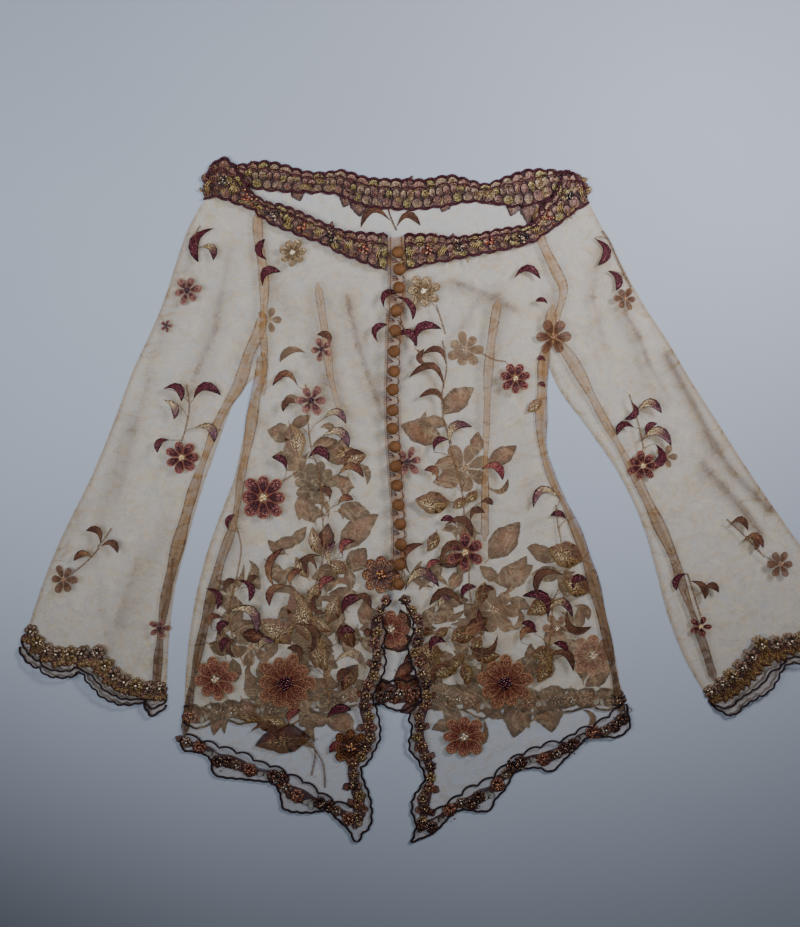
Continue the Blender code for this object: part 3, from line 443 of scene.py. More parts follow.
ALLOWANCES = (  # name, panel, width, points
    ("side_left", "front_left", 13, (
        (-204, 177), (-207, 151), (-213, 126), (-221, 72), (-228, 36), (-237, -24), (-252, -69),
        (-264, -118), (-278, -177), (-289, -237), (-296, -280))),
    ("armhole_left", "front_left", 11, (
        (-212, 341), (-210, 308), (-204, 273), (-202, 242), (-203, 209), (-202, 173), (-204, 125))),
    ("armhole_right", "front_right", 11, (
        (114, 348), (119, 311), (135, 277), (145, 256), (144, 240), (138, 219), (128, 179), (126, 147))),
    ("side_right", "front_right", 13, (
        (129, 187), (125, 169), (124, 145), (123, 102), (126, 66), (137, 31), (150, 6), (167, -32),
        (179, -64), (192, -109), (207, -170), (216, -213), (223, -247))),
    ("underarm_left", "sleeve_left_upper", 13, (
        (-203, 222), (-208, 198), (-220, 174), (-233, 137), (-248, 112), (-261, 84), (-275, 45),
        (-286, 13), (-296, -23), (-307, -65), (-318, -114), (-325, -170), (-329, -226))),
    ("underarm_right", "sleeve_right_upper", 12, (
        (133, 234), (131, 215), (135, 197), (153, 176), (172, 144), (192, 108), (215, 69), (237, 29),
        (258, -13), (279, -58), (291, -95), (316, -162), (330, -204))),
    ("dart_left", "front_left", 9, ((-140, 257), (-130, 196), (-123, 145), (-111, 104))),
    ("dart_right", "front_right", 10, ((70, 241), (60, 166), (58, 69), (58, -42))),
)
# Where the armholes and the front edge divide the embroidery, across the blouse.
SIDE_SPLITS = (-210, -45, 140)
SLIT_MIDDLE = (-42, -180)
STEM_STEP = 4.0
BRANCH_REACH = 34  # how far from a stem a motif may hang
FOLD_SHADE = 4.0  # how far in from a folded edge the net looks doubled
# Leaves that hang from the back's neck border: base_x, base_y, tip_x, tip_y, width.
NECK_DROPS = (
    (-167, 372, -162, 354, 15), (-152, 372, -148, 361, 12), (-107, 366, -112, 347, 14),
    (-92, 366, -92, 336, 20), (-76, 364, -66, 344, 16), (12, 358, 4, 342, 13),
    (88, 360, 84, 338, 15), (104, 362, 105, 328, 20), (122, 362, 128, 336, 16),
)
# Each panel's cut: the width and length of the cloth it takes, and the flat area of the piece.
CUTS = {  # metres and square metres
    "back": (0.52, 0.62, 0.229), "front_left": (0.25, 0.70, 0.115),
    "front_right": (0.27, 0.68, 0.117), "sleeve_left_upper": (0.18, 0.60, 0.0736),
    "sleeve_left_under": (0.18, 0.60, 0.0736), "sleeve_right_upper": (0.19, 0.60, 0.0755),
    "sleeve_right_under": (0.19, 0.60, 0.0755),
}
# Camera, millimetres and degrees.
EYE = (-27.5, 68.5, 1002.3)
EYE_TURN = (-1.2, 0.845, 0.611)
EYE_LENS = 33.0


# ---------------------------------------------------------------- plan of the blouse

def array(rows):
    return np.array(rows, float)


def lengths(line):
    """Share of the line's length at each of its points."""
    steps = np.linalg.norm(np.diff(line, axis=0), axis=1)
    run = np.concatenate([[0.0], np.cumsum(steps)])
    return run / run[-1]


def reach(line):
    return np.linalg.norm(np.diff(line, axis=0), axis=1).sum()


def along(line, shares):
    run = lengths(line)
    return np.stack([np.interp(shares, run, line[:, i]) for i in range(line.shape[1])], axis=-1)


def even(line, spacing):
    """The line with points an even distance apart."""
    return along(line, np.linspace(0, 1, max(2, round(reach(line) / spacing)) + 1))


def rounded(line, steps=6):
    """A smooth curve through the line's points."""
    padded = np.vstack([2 * line[0] - line[1], line, 2 * line[-1] - line[-2]])
    found = []
    for a, b, c, d in zip(padded, padded[1:], padded[2:], padded[3:]):
        for t in np.arange(steps) / steps:
            found.append(0.5 * (2 * b + (c - a) * t + (2 * a - 5 * b + 4 * c - d) * t**2
                                + (3 * b - a - 3 * c + d) * t**3))
    return np.vstack([found, line[-1]])


def sides(line):
    """Left-hand unit normals at the line's points."""
    way = np.gradient(line, axis=0)
    way /= np.maximum(np.linalg.norm(way, axis=1), 1e-9)[:, None]
    return np.stack([-way[:, 1], way[:, 0]], axis=1)


def distance(points, line):
    """Distance from each point to the nearest run of the line."""
    starts, runs = line[:-1], np.diff(line, axis=0)
    span = np.maximum((runs**2).sum(axis=1), 1e-9)
    nearest = np.full(len(points), np.inf)
    for start, run, length in zip(starts, runs, span):
        out = points - start
        share = np.clip(out @ run / length, 0, 1)
        nearest = np.minimum(nearest, np.linalg.norm(out - share[:, None] * run, axis=1))
    return nearest


def soft_step(share):
    share = np.clip(share, 0, 1)
    return share**2 * (3 - 2 * share)


def folded_edges():
    """The lines in plan where the upper and lower layers meet."""
    edges = []
    for sleeve, neck, cuff, front in (
        (SLEEVE_LEFT, NECK_LEFT_EDGE, CUFF_LEFT_EDGE, FRONT_LEFT),
        (SLEEVE_RIGHT, NECK_RIGHT_EDGE, CUFF_RIGHT_EDGE, FRONT_RIGHT),
    ):
        rows, side = array(sleeve), array(front)[ARMHOLE_ROWS:, :2]
        edges.append(rounded(np.vstack([array(neck)[2::-1], rows[1:, :2], cuff[0]]), 3))
        edges.append(rounded(np.vstack([rows[:, 2:], cuff[-1]]), 3))
        edges.append(rounded(np.vstack([side, side[-1] - (0, SIDE_RUN_ON)]), 3))
    return edges


EDGES = folded_edges()


def ridges(points, table):
    """How far each point stands up on the table's folds."""
    height = np.zeros(len(points))
    for from_x, from_y, to_x, to_y, high, wide in table:
        off = distance(points, array(((from_x, from_y), (to_x, to_y)))) / wide
        height += high * np.exp(-off**2)
    return height


def ripples(points, size):
    """Low uneven waves of cloth that has been handled and smoothed out by hand."""
    x, y = points[:, 0], points[:, 1]
    waves = (np.sin(x / 13 + 2.1 * np.sin(y / 47)) * np.sin(y / 19 + 1.3 * np.sin(x / 31))
             + 0.6 * np.sin(x / 7.3 - y / 11.9 + 2 * np.sin(y / 23))
             + 0.8 * np.sin((x + y) / 29 + 1.7 * np.sin(x / 37)))
    return size * waves / 2.4


def front_height(points):
    """Height of the upper layer's middle at points in plan."""
    rows = array(LIFT)[::-1]
    rest = np.interp(points[:, 1], rows[:, 0], rows[:, 1])
    rise = np.interp(points[:, 1], rows[:, 0], rows[:, 2])
    near = np.min([distance(points, edge) for edge in EDGES], axis=0)
    full = soft_step(near / FOLD_REACH)
    height = rest + rise * full + full * ridges(points, FOLDS)
    height = np.maximum(height, rest) + NET_MIDDLE
    height += soft_step(near / 25) * (ripples(points, 0.5) + ridges(points, CREASES))
    closed = TABLE_NET + 0.5
    return closed + (np.maximum(height, closed) - closed) * soft_step(near / CLOSE_REACH + 0.1)


def back_height(points):
    """Height of the layer that lies on the table."""
    return TABLE_NET + np.maximum(ripples(points[:, ::-1] + 40, 0.25), -0.3)


def height_map(height):
    """A layer's heights on a grid over the whole plan."""
    x, y = (corner + MAP_STEP * np.arange(count) for corner, count in zip(MAP_CORNER, MAP_POINTS))
    grid = np.stack(np.meshgrid(x, y, indexing="ij"), axis=-1)
    return height(grid.reshape(-1, 2)).reshape(MAP_POINTS)


HEIGHTS = {"front": height_map(front_height), "back": height_map(back_height)}


def on(layer, points, above=0.0):
    """Points in plan set on a layer of the cloth, or above it."""
    heights = HEIGHTS[layer]
    where = (points - MAP_CORNER) / MAP_STEP
    cell = np.floor(where).astype(int)
    share = where - cell
    i, j = cell[..., 0], cell[..., 1]
    s, t = share[..., 0], share[..., 1]
    height = ((heights[i, j] * (1 - s) + heights[i + 1, j] * s) * (1 - t)
              + (heights[i, j + 1] * (1 - s) + heights[i + 1, j + 1] * s) * t)
    return np.concatenate([points, (height + above)[..., None]], axis=-1)


def sections(rows, shares, top, bottom, bend):
    """Points of a panel cut across by straight sections, its first and last bent to the lines given."""
    down = np.linspace(0, 1, len(rows))[:, None, None]
    shares = shares[None, :, None]
    here = rows[:, None, :2] + (rows[:, None, 2:] - rows[:, None, :2]) * shares
    first, last = here[:1], here[-1:]
    fade = (1 - down) ** bend[None, :, None]
    return here + (top[None] - first) * fade + (bottom[None] - last) * down**PANEL_BEND


def fine_rows(table):
    rows = array(table)
    middle = (rows[:, :2] + rows[:, 2:]) / 2
    return rounded(rows, max(2, round(reach(middle) / (len(rows) - 1) / NET_STEP)))


def panel(rows, top, bottom):
    top = even(top, NET_STEP)
    shares = lengths(top)
    return sections(rows, shares, top, along(bottom, shares), np.full(len(top), PANEL_BEND))


def front_plan(table, neckline, hemline):
    return panel(fine_rows(table), rounded(array(neckline)), rounded(array(hemline)))


def back_plan():
    left, right = array(FRONT_LEFT)[1:BACK_ROWS + 1, :2], array(FRONT_RIGHT)[1:BACK_ROWS + 1, :2]
    neck, hem = array(NECKLINE_BACK), array(HEMLINE_BACK)
    left, right = np.vstack([neck[0], left, hem[0]]), np.vstack([neck[-1], right, hem[-1]])
    return panel(fine_rows(np.hstack([left, right])), rounded(neck), rounded(hem))


def side_line(table):
    """A front's side, from the neck down, as smooth as its panel has it."""
    return rounded(array(table)[:, :2], 10)


def sleeve_plans(table, shoulder, front_table, seam):
    """Upper and under points of a sleeve, from the shoulder and armhole to the cuff seam."""
    head, rows = array(shoulder), fine_rows(table)
    upper_side = side_line(front_table)[:ARMHOLE_ROWS * 10 + 1]
    under_side = rounded(np.vstack([head[-1, 2:], array(front_table)[1:ARMHOLE_ROWS + 1, :2]]), 10)
    plans = []
    tops = []
    for columns, side in ((slice(0, 2), upper_side), (slice(2, 4), under_side)):
        line = rounded(head[:, columns], 6)
        tops.append((line, side))
    head_count = max(3, round(reach(tops[0][0]) / NET_STEP))
    side_count = max(3, round(reach(tops[0][1]) / NET_STEP))
    tops = [np.vstack([along(line, np.linspace(0, 1, head_count + 1)),
                       along(side, np.linspace(0, 1, side_count + 1))[1:]]) for line, side in tops]
    shares = lengths(tops[0])
    cuff = along(rounded(array(seam)), shares)
    bend = np.full(len(shares), float(SLEEVE_BEND))
    plans.append(sections(rows, shares, tops[0], cuff, bend))
    marks = lengths(head[:, :2]) * shares[head_count]
    bend = np.interp(shares, marks, HEAD_BEND[:len(marks)])
    plans.append(sections(rows, shares, tops[1], cuff, bend))
    return plans


def matched(seam, edge, spacing):
    """Points along a seam paired with points along the free edge of the border sewn to it."""
    run = lengths(edge)
    fine = along(seam, np.linspace(0, 1, SEAM_SAMPLES))
    nearest = [np.argmin(((fine - point) ** 2).sum(axis=1)) / (SEAM_SAMPLES - 1) for point in edge]
    nearest = np.maximum.accumulate(nearest)
    share = np.convolve(np.pad(nearest, 4, mode="edge"), np.ones(9) / 9, mode="valid")
    share = (share - share[0]) / (share[-1] - share[0])
    share = (1 - EVENNESS) * share + EVENNESS * run
    at = np.linspace(0, 1, max(2, round(reach(edge) / spacing)) + 1)
    return along(seam, np.interp(at, run, share)), along(edge, at)


def scalloped(line, out_to, pitch=SCALLOP_PITCH, depth=SCALLOP_DEPTH):
    """The line as a row of even scallops that swell to the side where the point lies."""
    base = rounded(line)
    count = round(reach(base) / pitch)
    shares = np.linspace(0, 1, count * 8 + 1)
    base = along(base, shares)
    side = sides(base)
    toward = array(out_to) - base[len(base) // 2]
    if (side[len(base) // 2] * toward).sum() < 0:
        side = -side
    swell = depth * np.abs(np.sin(math.pi * count * shares)) ** 0.7
    return base + swell[:, None] * side


def band_plan(seam, edge):
    """The points of a border, in rows from its seam out to its free edge."""
    inner, outer = matched(seam, edge, BORDER_STEP)
    across = np.linspace(0, 1, BORDER_COLUMNS + 1)[None, :, None]
    return inner[:, None] + (outer - inner)[:, None] * across


def lane(band, share):
    """The line that runs along a border, a share of the way from its seam to its edge."""
    return band[:, 0] + (band[:, -1] - band[:, 0]) * share


# ---------------------------------------------------------------- finishes

def colour(code):
    """An sRGB hex colour as linear RGBA."""
    shares = [int(code[i:i + 2], 16) / 255 for i in (0, 2, 4)]
    linear = [s / 12.92 if s <= 0.04045 else ((s + 0.055) / 1.055) ** 2.4 for s in shares]
    return (*linear, 1.0)


def put(tree, kind, settings=None, inputs=None):
    """Adds a node with its settings, and sets or links its inputs."""
    made = tree.nodes.new(kind)
    for name, value in (settings or {}).items():
        setattr(made, name, value)
    for name, value in (inputs or {}).items():
        socket = made.inputs[name]
        if isinstance(value, bpy.types.NodeSocket):
            tree.links.new(value, socket)
        else:
            socket.default_value = value
    return made


def finish(name, constants):
    """A new material: its node tree, and its shader with the constants set on the shader's sockets."""
    material = bpy.data.materials.new(name)
    material.use_nodes = True
    shader = material.node_tree.nodes["Principled BSDF"]
    for socket, value in constants.items():
        shader.inputs[socket].default_value = value
    return material, material.node_tree, shader


def place(tree, scale):
    """Object coordinates in units of the scale, given in millimetres."""
    where = put(tree, "ShaderNodeTexCoord")
    return put(tree, "ShaderNodeMapping", None,
               {"Vector": where.outputs["Object"], "Scale": (1 / (scale * MM),) * 3}).outputs[0]


def noise(tree, vector, detail=2.0, **inputs):
    settings = {"Vector": vector, "Scale": 1.0, "Detail": detail, **inputs}
    return put(tree, "ShaderNodeTexNoise", None, settings).outputs["Fac"]


def ramp(tree, value, low, high, to_low, to_high):
    return put(tree, "ShaderNodeMapRange", None,
               {"Value": value, "From Min": low, "From Max": high,
                "To Min": to_low, "To Max": to_high}).outputs[0]


def sums(tree, operation, *terms, clamp=False):
    return put(tree, "ShaderNodeMath", {"operation": operation, "use_clamp": clamp},
               dict(enumerate(terms))).outputs[0]


def blend(tree, share, low, high):
    return put(tree, "ShaderNodeMix", {"data_type": "RGBA"}, {0: share, 6: low, 7: high}).outputs[2]


def tulle(name, light, shade, fold_and_shade_tone, thread, hole, lines=0.16):
    """Nylon tulle, warp knitted and softly sized: a clear cloth that veils what lies under it, with
    fine threads round open holes. It is denser and browner where it is doubled, and painted shade makes
    it denser and browner along creases too. Soft patches of painted light and shade mix a lit and a
    shaded tone over it, and thin crumple lines of painted shade run all over it. The holes of about
    1.2 mm are drawn at 1.5 mm so that they show."""
    material, tree, shader = finish(name, {"Roughness": 0.8, "Sheen Weight": 0.25, "IOR": 1.5})
    holes = put(tree, "ShaderNodeTexVoronoi", {"feature": "DISTANCE_TO_EDGE"},
                {"Vector": place(tree, 1.5), "Scale": 1.0, "Randomness": 0.6})
    body = ramp(tree, holes.outputs["Distance"], 0.04, 0.28, thread, hole)
    mottle_and_painted_light = noise(tree, place(tree, 17.0), 5.0, Roughness=0.6, Distortion=1.2)
    veil = sums(tree, "MULTIPLY", body, ramp(tree, mottle_and_painted_light, 0.3, 0.7, 0.6, 1.45))
    crumple = noise(tree, place(tree, 44.0), 3.0, Roughness=0.5, Distortion=1.6)
    small = noise(tree, place(tree, 19.0), 2.0, Roughness=0.4, Distortion=0.9)
    off, near = (sums(tree, "ABSOLUTE", sums(tree, "SUBTRACT", it, 0.5)) for it in (crumple, small))
    # painted shade: thin crumple lines that make the net denser and browner, for wrinkles that are not
    # modelled
    line = sums(tree, "MAXIMUM", ramp(tree, off, 0.0, 0.03, 1.0, 0.0),
                ramp(tree, near, 0.0, 0.022, 0.3, 0.0))
    # doubling at folds and edges, with painted shade along creases, towards the hem and beside the
    # buttons
    doubling_and_shade = put(tree, "ShaderNodeAttribute", {"attribute_name": "doubling_and_shade"}).outputs["Fac"]
    dense = sums(tree, "MULTIPLY_ADD", line, lines, veil)
    dense = sums(tree, "MULTIPLY_ADD", doubling_and_shade, 0.34, dense, clamp=True)
    # painted light and shade: soft patches that mix a lit and a shaded tone of the net
    tint = blend(tree, mottle_and_painted_light, colour(shade), colour(light))
    # painted shade with the doubling: crumple lines and the point attribute pull the colour to a fold
    # and shade tone
    folded = sums(tree, "MULTIPLY_ADD", line, 0.25, doubling_and_shade, clamp=True)
    tint = blend(tree, folded, tint, colour(fold_and_shade_tone))
    bump = put(tree, "ShaderNodeBump", None,
               {"Height": sums(tree, "ADD", crumple, mottle_and_painted_light), "Strength": 0.7, "Distance": 3.0 * MM})
    for socket, source in (("Base Color", tint), ("Alpha", dense), ("Normal", bump.outputs[0])):
        tree.links.new(source, shader.inputs[socket])
    return material


def stitched(name, constants, grain, thread_height, low=0.5, high=0.6):
    """Rayon embroidery thread in close stitches: the ground colour and the lighter flecks come with
    each motif. The stitches are about 0.5 mm apart, and the flecks are drawn at 1 mm or more."""
    material, tree, shader = finish(name, constants)
    tint, fleck = (put(tree, "ShaderNodeAttribute", {"attribute_name": kind}).outputs["Color"]
                   for kind in ("tint", "fleck"))
    run = put(tree, "ShaderNodeUVMap", {"uv_map": "UVMap"}).outputs[0]
    rows = put(tree, "ShaderNodeMapping", None, {"Vector": run, "Scale": grain}).outputs[0]
    stitches = noise(tree, rows, 1.5, Roughness=0.6)
    cover = blend(tree, ramp(tree, stitches, low, high, 0.0, 1.0), tint, fleck)
    patches = ramp(tree, noise(tree, place(tree, 4.0)), 0.3, 0.7, 0.52, 0.98)
    shaded = put(tree, "ShaderNodeVectorMath", {"operation": "SCALE"}, {0: cover, "Scale": patches})
    bump = put(tree, "ShaderNodeBump", None,
               {"Height": stitches, "Strength": 0.9, "Distance": thread_height * MM})
    tree.links.new(shaded.outputs[0], shader.inputs["Base Color"])
    tree.links.new(bump.outputs[0], shader.inputs["Normal"])
    return material


def bead_glass(name, constants):
    """Glass seed beads and foil sequins, faceted and lined with colour: small hard highlights."""
    material, tree, shader = finish(name, constants)
    tint = put(tree, "ShaderNodeAttribute", {"attribute_name": "tint"}).outputs["Color"]
    worn_down = ramp(tree, noise(tree, place(tree, 1.5), 1.0), 0.0, 1.0, 0.6, 1.4)
    shaded = put(tree, "ShaderNodeVectorMath", {"operation": "SCALE"}, {0: tint, "Scale": worn_down})
    tree.links.new(shaded.outputs[0], shader.inputs["Base Color"])
    return material


def satin(name, light, shade):
    """Polyester satin stretched over a button mould: a warm tan worn nearly matt, its float threads
    drawn at 0.9 mm, with painted light and shade in patches, mixed at random between a lit and a shaded
    tone."""
    material, tree, shader = finish(name, {"Roughness": 0.6, "Specular IOR Level": 0.2})
    where = put(tree, "ShaderNodeTexCoord").outputs["Object"]
    weave = put(tree, "ShaderNodeMapping", None,
                {"Vector": where, "Scale": (1 / (0.9 * MM), 1 / (3 * MM), 300)}).outputs[0]
    floats = noise(tree, weave)
    # painted light and shade: patches mixed at random between a lit and a shaded tan
    tone = blend(tree, noise(tree, place(tree, 9.0), 3.0), colour(shade), colour(light))
    shaded = put(tree, "ShaderNodeVectorMath", {"operation": "SCALE"},
                 {0: tone, "Scale": ramp(tree, floats, 0.3, 0.7, 0.85, 1.12)})
    bump = put(tree, "ShaderNodeBump", None,
               {"Height": floats, "Strength": 0.25, "Distance": 0.15 * MM})
    tree.links.new(shaded.outputs[0], shader.inputs["Base Color"])
    tree.links.new(bump.outputs[0], shader.inputs["Normal"])
    return material


TULLE = tulle("ivory_nylon_tulle", "eedab4", "c2a67a", "705434", 0.17, 0.08, 0.24)
UNDER_TULLE = tulle("ivory_nylon_tulle_under", "fcf0d4", "dac49e", "806444", 0.37, 0.24, 0.3)
STRIP_NET = tulle("tan_doubled_tulle", "b8844e", "855a30", "5a3416", 0.36, 0.22)
ALLOWANCE = tulle("seam_allowance_tulle", "bd925c", "855e32", "40240f", 0.48, 0.3, 0.24)
BEADED_NET = tulle("border_beaded_tulle", "4e2a28", "2c1517", "1e0d10", 0.96, 0.86)
CLEAR_NET = tulle("border_clear_tulle", "d8ccbc", "b0a090", "5a4636", 0.32, 0.2, 0.08)
SATIN_STITCH = stitched("rayon_satin_stitch", {"Roughness": 0.6, "Specular IOR Level": 0.15},
                        (0.55, 0.75, 1.0), 0.4, 0.51, 0.575)
FLAT_STITCH = stitched("rayon_fill_stitch",
                       {"Roughness": 0.8, "Alpha": 0.8, "Specular IOR Level": 0.15},
                       (0.3, 0.7, 1.0), 0.1)
GLITTER = stitched("gilt_lurex_stitch", {"Roughness": 0.42, "Metallic": 0.25}, (0.6, 0.75, 1.0), 0.5,
                   0.51, 0.555)
CORDING = stitched("rayon_gimp_cord", {"Roughness": 0.55, "Specular IOR Level": 0.2},
                   (0.8, 0.5, 1.0), 0.2)
BEADS = bead_glass("lined_glass_bead", {"Roughness": 0.15, "Metallic": 0.3, "Coat Weight": 0.6})
BUTTON_SATIN = satin("tan_polyester_satin", "845a36", "4a2c14")
THREADWORK = (SATIN_STITCH, FLAT_STITCH, GLITTER, CORDING, BEADS)
SATIN_SLOT, FLAT_SLOT, GILT_SLOT, CORD_SLOT, BEAD_SLOT = range(len(THREADWORK))


# ---------------------------------------------------------------- how pieces are made

def nothing_selected():
    if bpy.context.object and bpy.context.object.mode != "OBJECT":
        bpy.ops.object.mode_set(mode="OBJECT")
    bpy.ops.object.select_all(action="DESELECT")


def cloth(name, points, material, doubling_and_shade=0.0):
    """A sheet of cloth: a grid laid out in the plan's rows and columns. The last argument says how much
    it is doubled at each point, and where painted shade makes it denser and browner."""
    rows, columns = points.shape[:2]
    nothing_selected()
    bpy.ops.mesh.primitive_grid_add(x_subdivisions=columns - 1, y_subdivisions=rows - 1, size=1)
    piece = bpy.context.object
    piece.name = piece.data.name = name
    mesh = piece.data
    mesh.vertices.foreach_set("co", (points.reshape(-1, 3) * MM).ravel())
    run = np.concatenate([[0], np.cumsum(np.linalg.norm(np.diff(points[rows // 2], axis=0), axis=1))])
    fall = np.linalg.norm(np.diff(points[:, columns // 2], axis=0), axis=1)
    fall = np.concatenate([[0], np.cumsum(fall)])
    corner = np.empty(len(mesh.loops), np.int32)
    mesh.loops.foreach_get("vertex_index", corner)
    uv = np.stack([run[corner % columns], fall[corner // columns]], axis=1)
    mesh.uv_layers.active.data.foreach_set("uv", uv.ravel())
    # how much the cloth is doubled, and where painted shade makes it denser and browner
    amount = np.clip(np.broadcast_to(doubling_and_shade, points.shape[:2]), 0, 1).astype(np.float32)
    mesh.attributes.new("doubling_and_shade", "FLOAT", "POINT").data.foreach_set("value", amount.ravel())
    mesh.update()
    if mesh.polygons[0].normal.z < 0:
        bpy.ops.object.mode_set(mode="EDIT")
        bpy.ops.mesh.select_all(action="SELECT")
        bpy.ops.mesh.flip_normals()
        bpy.ops.object.mode_set(mode="OBJECT")
    bpy.ops.object.shade_smooth()
    mesh.materials.append(material)
    return piece


def read_out(piece):
    """The points and triangles of a finished pattern piece, which is then cleared away."""
    bpy.ops.mesh.quads_convert_to_tris()
    bpy.ops.object.mode_set(mode="OBJECT")
    mesh = piece.data
    points, faces = np.empty(len(mesh.vertices) * 3), np.empty(len(mesh.polygons) * 3, np.int32)
    mesh.vertices.foreach_get("co", points)
    mesh.polygons.foreach_get("vertices", faces)
    bpy.data.objects.remove(piece, do_unlink=True)
    bpy.data.meshes.remove(mesh)
    return points.reshape(-1, 3), faces.reshape(-1, 3)


def shape(corners, rings, profile):
    """A motif's pattern piece: a disc worked into rings, each as wide and as high as given, then cut
    to the profile. It holds the points, with X from 0 at the base to 1 at the tip, the triangles,
    and each point's share of the cord round the rim."""
    nothing_selected()
    bpy.ops.mesh.primitive_circle_add(vertices=corners, radius=1, fill_type="NGON")
    piece = bpy.context.object
    bpy.ops.object.mode_set(mode="EDIT")
    bpy.ops.mesh.select_all(action="SELECT")
    for thickness, depth in rings:
        bpy.ops.mesh.inset(thickness=thickness, depth=depth)
    bpy.ops.mesh.poke()
    bpy.ops.mesh.select_all(action="SELECT")
    points, faces = read_out(piece)
    rim = np.clip((np.linalg.norm(points[:, :2], axis=1) - 0.84) / 0.06, 0, 1)
    points[:, 0] = np.clip((points[:, 0] + 1) / 2, 0, 1)
    points[:, 1] *= profile(points[:, 0])
    return points, faces, rim[:, None]


def toothed(u, teeth, bite):
    return 1 - bite * ((u * teeth) % 1)


CORDED_RINGS = ((0.04, 0.5), (0.06, 0.0), (0.05, -0.25), (0.32, 0.25))
PETAL = shape(14, CORDED_RINGS, lambda u: 0.45 + 0.62 * u**0.8)
COMMA = shape(18, CORDED_RINGS, lambda u: 2 * np.sqrt(u * (1 - u)) * (0.5 + 0.85 * u))
LEAF = shape(44, ((0.10, 0.25), (0.5, 0.2)),
             lambda u: (0.45 + 0.8 * np.sin(math.pi * u**0.8)) * toothed(u, 11, 0.17))
FAN = shape(12, ((0.04, 0.4), (0.15, 0.0), (0.08, -0.2)), lambda u: np.ones_like(u))
LOOP = shape(8, ((0.2, 0.6),), lambda u: 0.4 + 0.7 * u)


def bead(subdivisions, flat):
    """A bead's pattern piece: a faceted ball, pressed flat."""
    nothing_selected()
    bpy.ops.mesh.primitive_ico_sphere_add(subdivisions=subdivisions, radius=1)
    piece = bpy.context.object
    bpy.ops.object.mode_set(mode="EDIT")
    bpy.ops.mesh.select_all(action="SELECT")
    bpy.ops.transform.resize(value=(1, 1, flat))
    return read_out(piece)


SEED = bead(1, 0.8)
PEARL = bead(2, 0.8)
SEQUIN = bead(1, 0.25)


# ---------------------------------------------------------------- needlework

def rgb(code):
    return np.array(colour(code)[:3])


class Needlework:
    """Threads, motifs and beads that are sewn to one layer of cloth, gathered into one mesh."""

    def __init__(self, name, layer):
        self.name, self.layer = name, layer
        self.plans, self.rises, self.faces, self.slots = [], [], [], []
        self.tints, self.flecks, self.runs = [], [], []
        self.count = 0

    def add(self, plan, rise, faces, slot, tint, fleck, run):
        """Points in plan and their heights above the cloth, triangles, a material slot, the colours
        of the ground and the flecks, and a place along the stitches."""
        self.plans.append(plan)
        self.rises.append(np.broadcast_to(rise, len(plan)))
        self.faces.append(faces + self.count)
        self.slots.append(np.full(len(faces), slot, np.int32))
        self.tints.append(np.broadcast_to(tint, (len(plan), 3)))
        self.flecks.append(np.broadcast_to(fleck, (len(plan), 3)))
        self.runs.append(run)
        self.count += len(plan)

    def sewn(self):
        """The finished mesh object."""
        points = on(self.layer, np.vstack(self.plans), np.concatenate(self.rises))
        mesh = bpy.data.meshes.new(self.name)
        mesh.from_pydata((points * MM).tolist(), [], np.vstack(self.faces).tolist())
        for kind, colours in (("tint", self.tints), ("fleck", self.flecks)):
            values = np.c_[np.vstack(colours), np.ones(self.count)].astype(np.float32)
            mesh.attributes.new(kind, "FLOAT_COLOR", "POINT").data.foreach_set("color", values.ravel())
        corner = np.empty(len(mesh.loops), np.int32)
        mesh.loops.foreach_get("vertex_index", corner)
        runs = np.vstack(self.runs)[corner].astype(np.float32)
        mesh.uv_layers.new(name="UVMap").data.foreach_set("uv", runs.ravel())
        for material in THREADWORK:
            mesh.materials.append(material)
        mesh.polygons.foreach_set("material_index", np.concatenate(self.slots))
        mesh.shade_smooth()
        mesh.update()
        made = bpy.data.objects.new(self.name, mesh)
        bpy.context.scene.collection.objects.link(made)
        return made


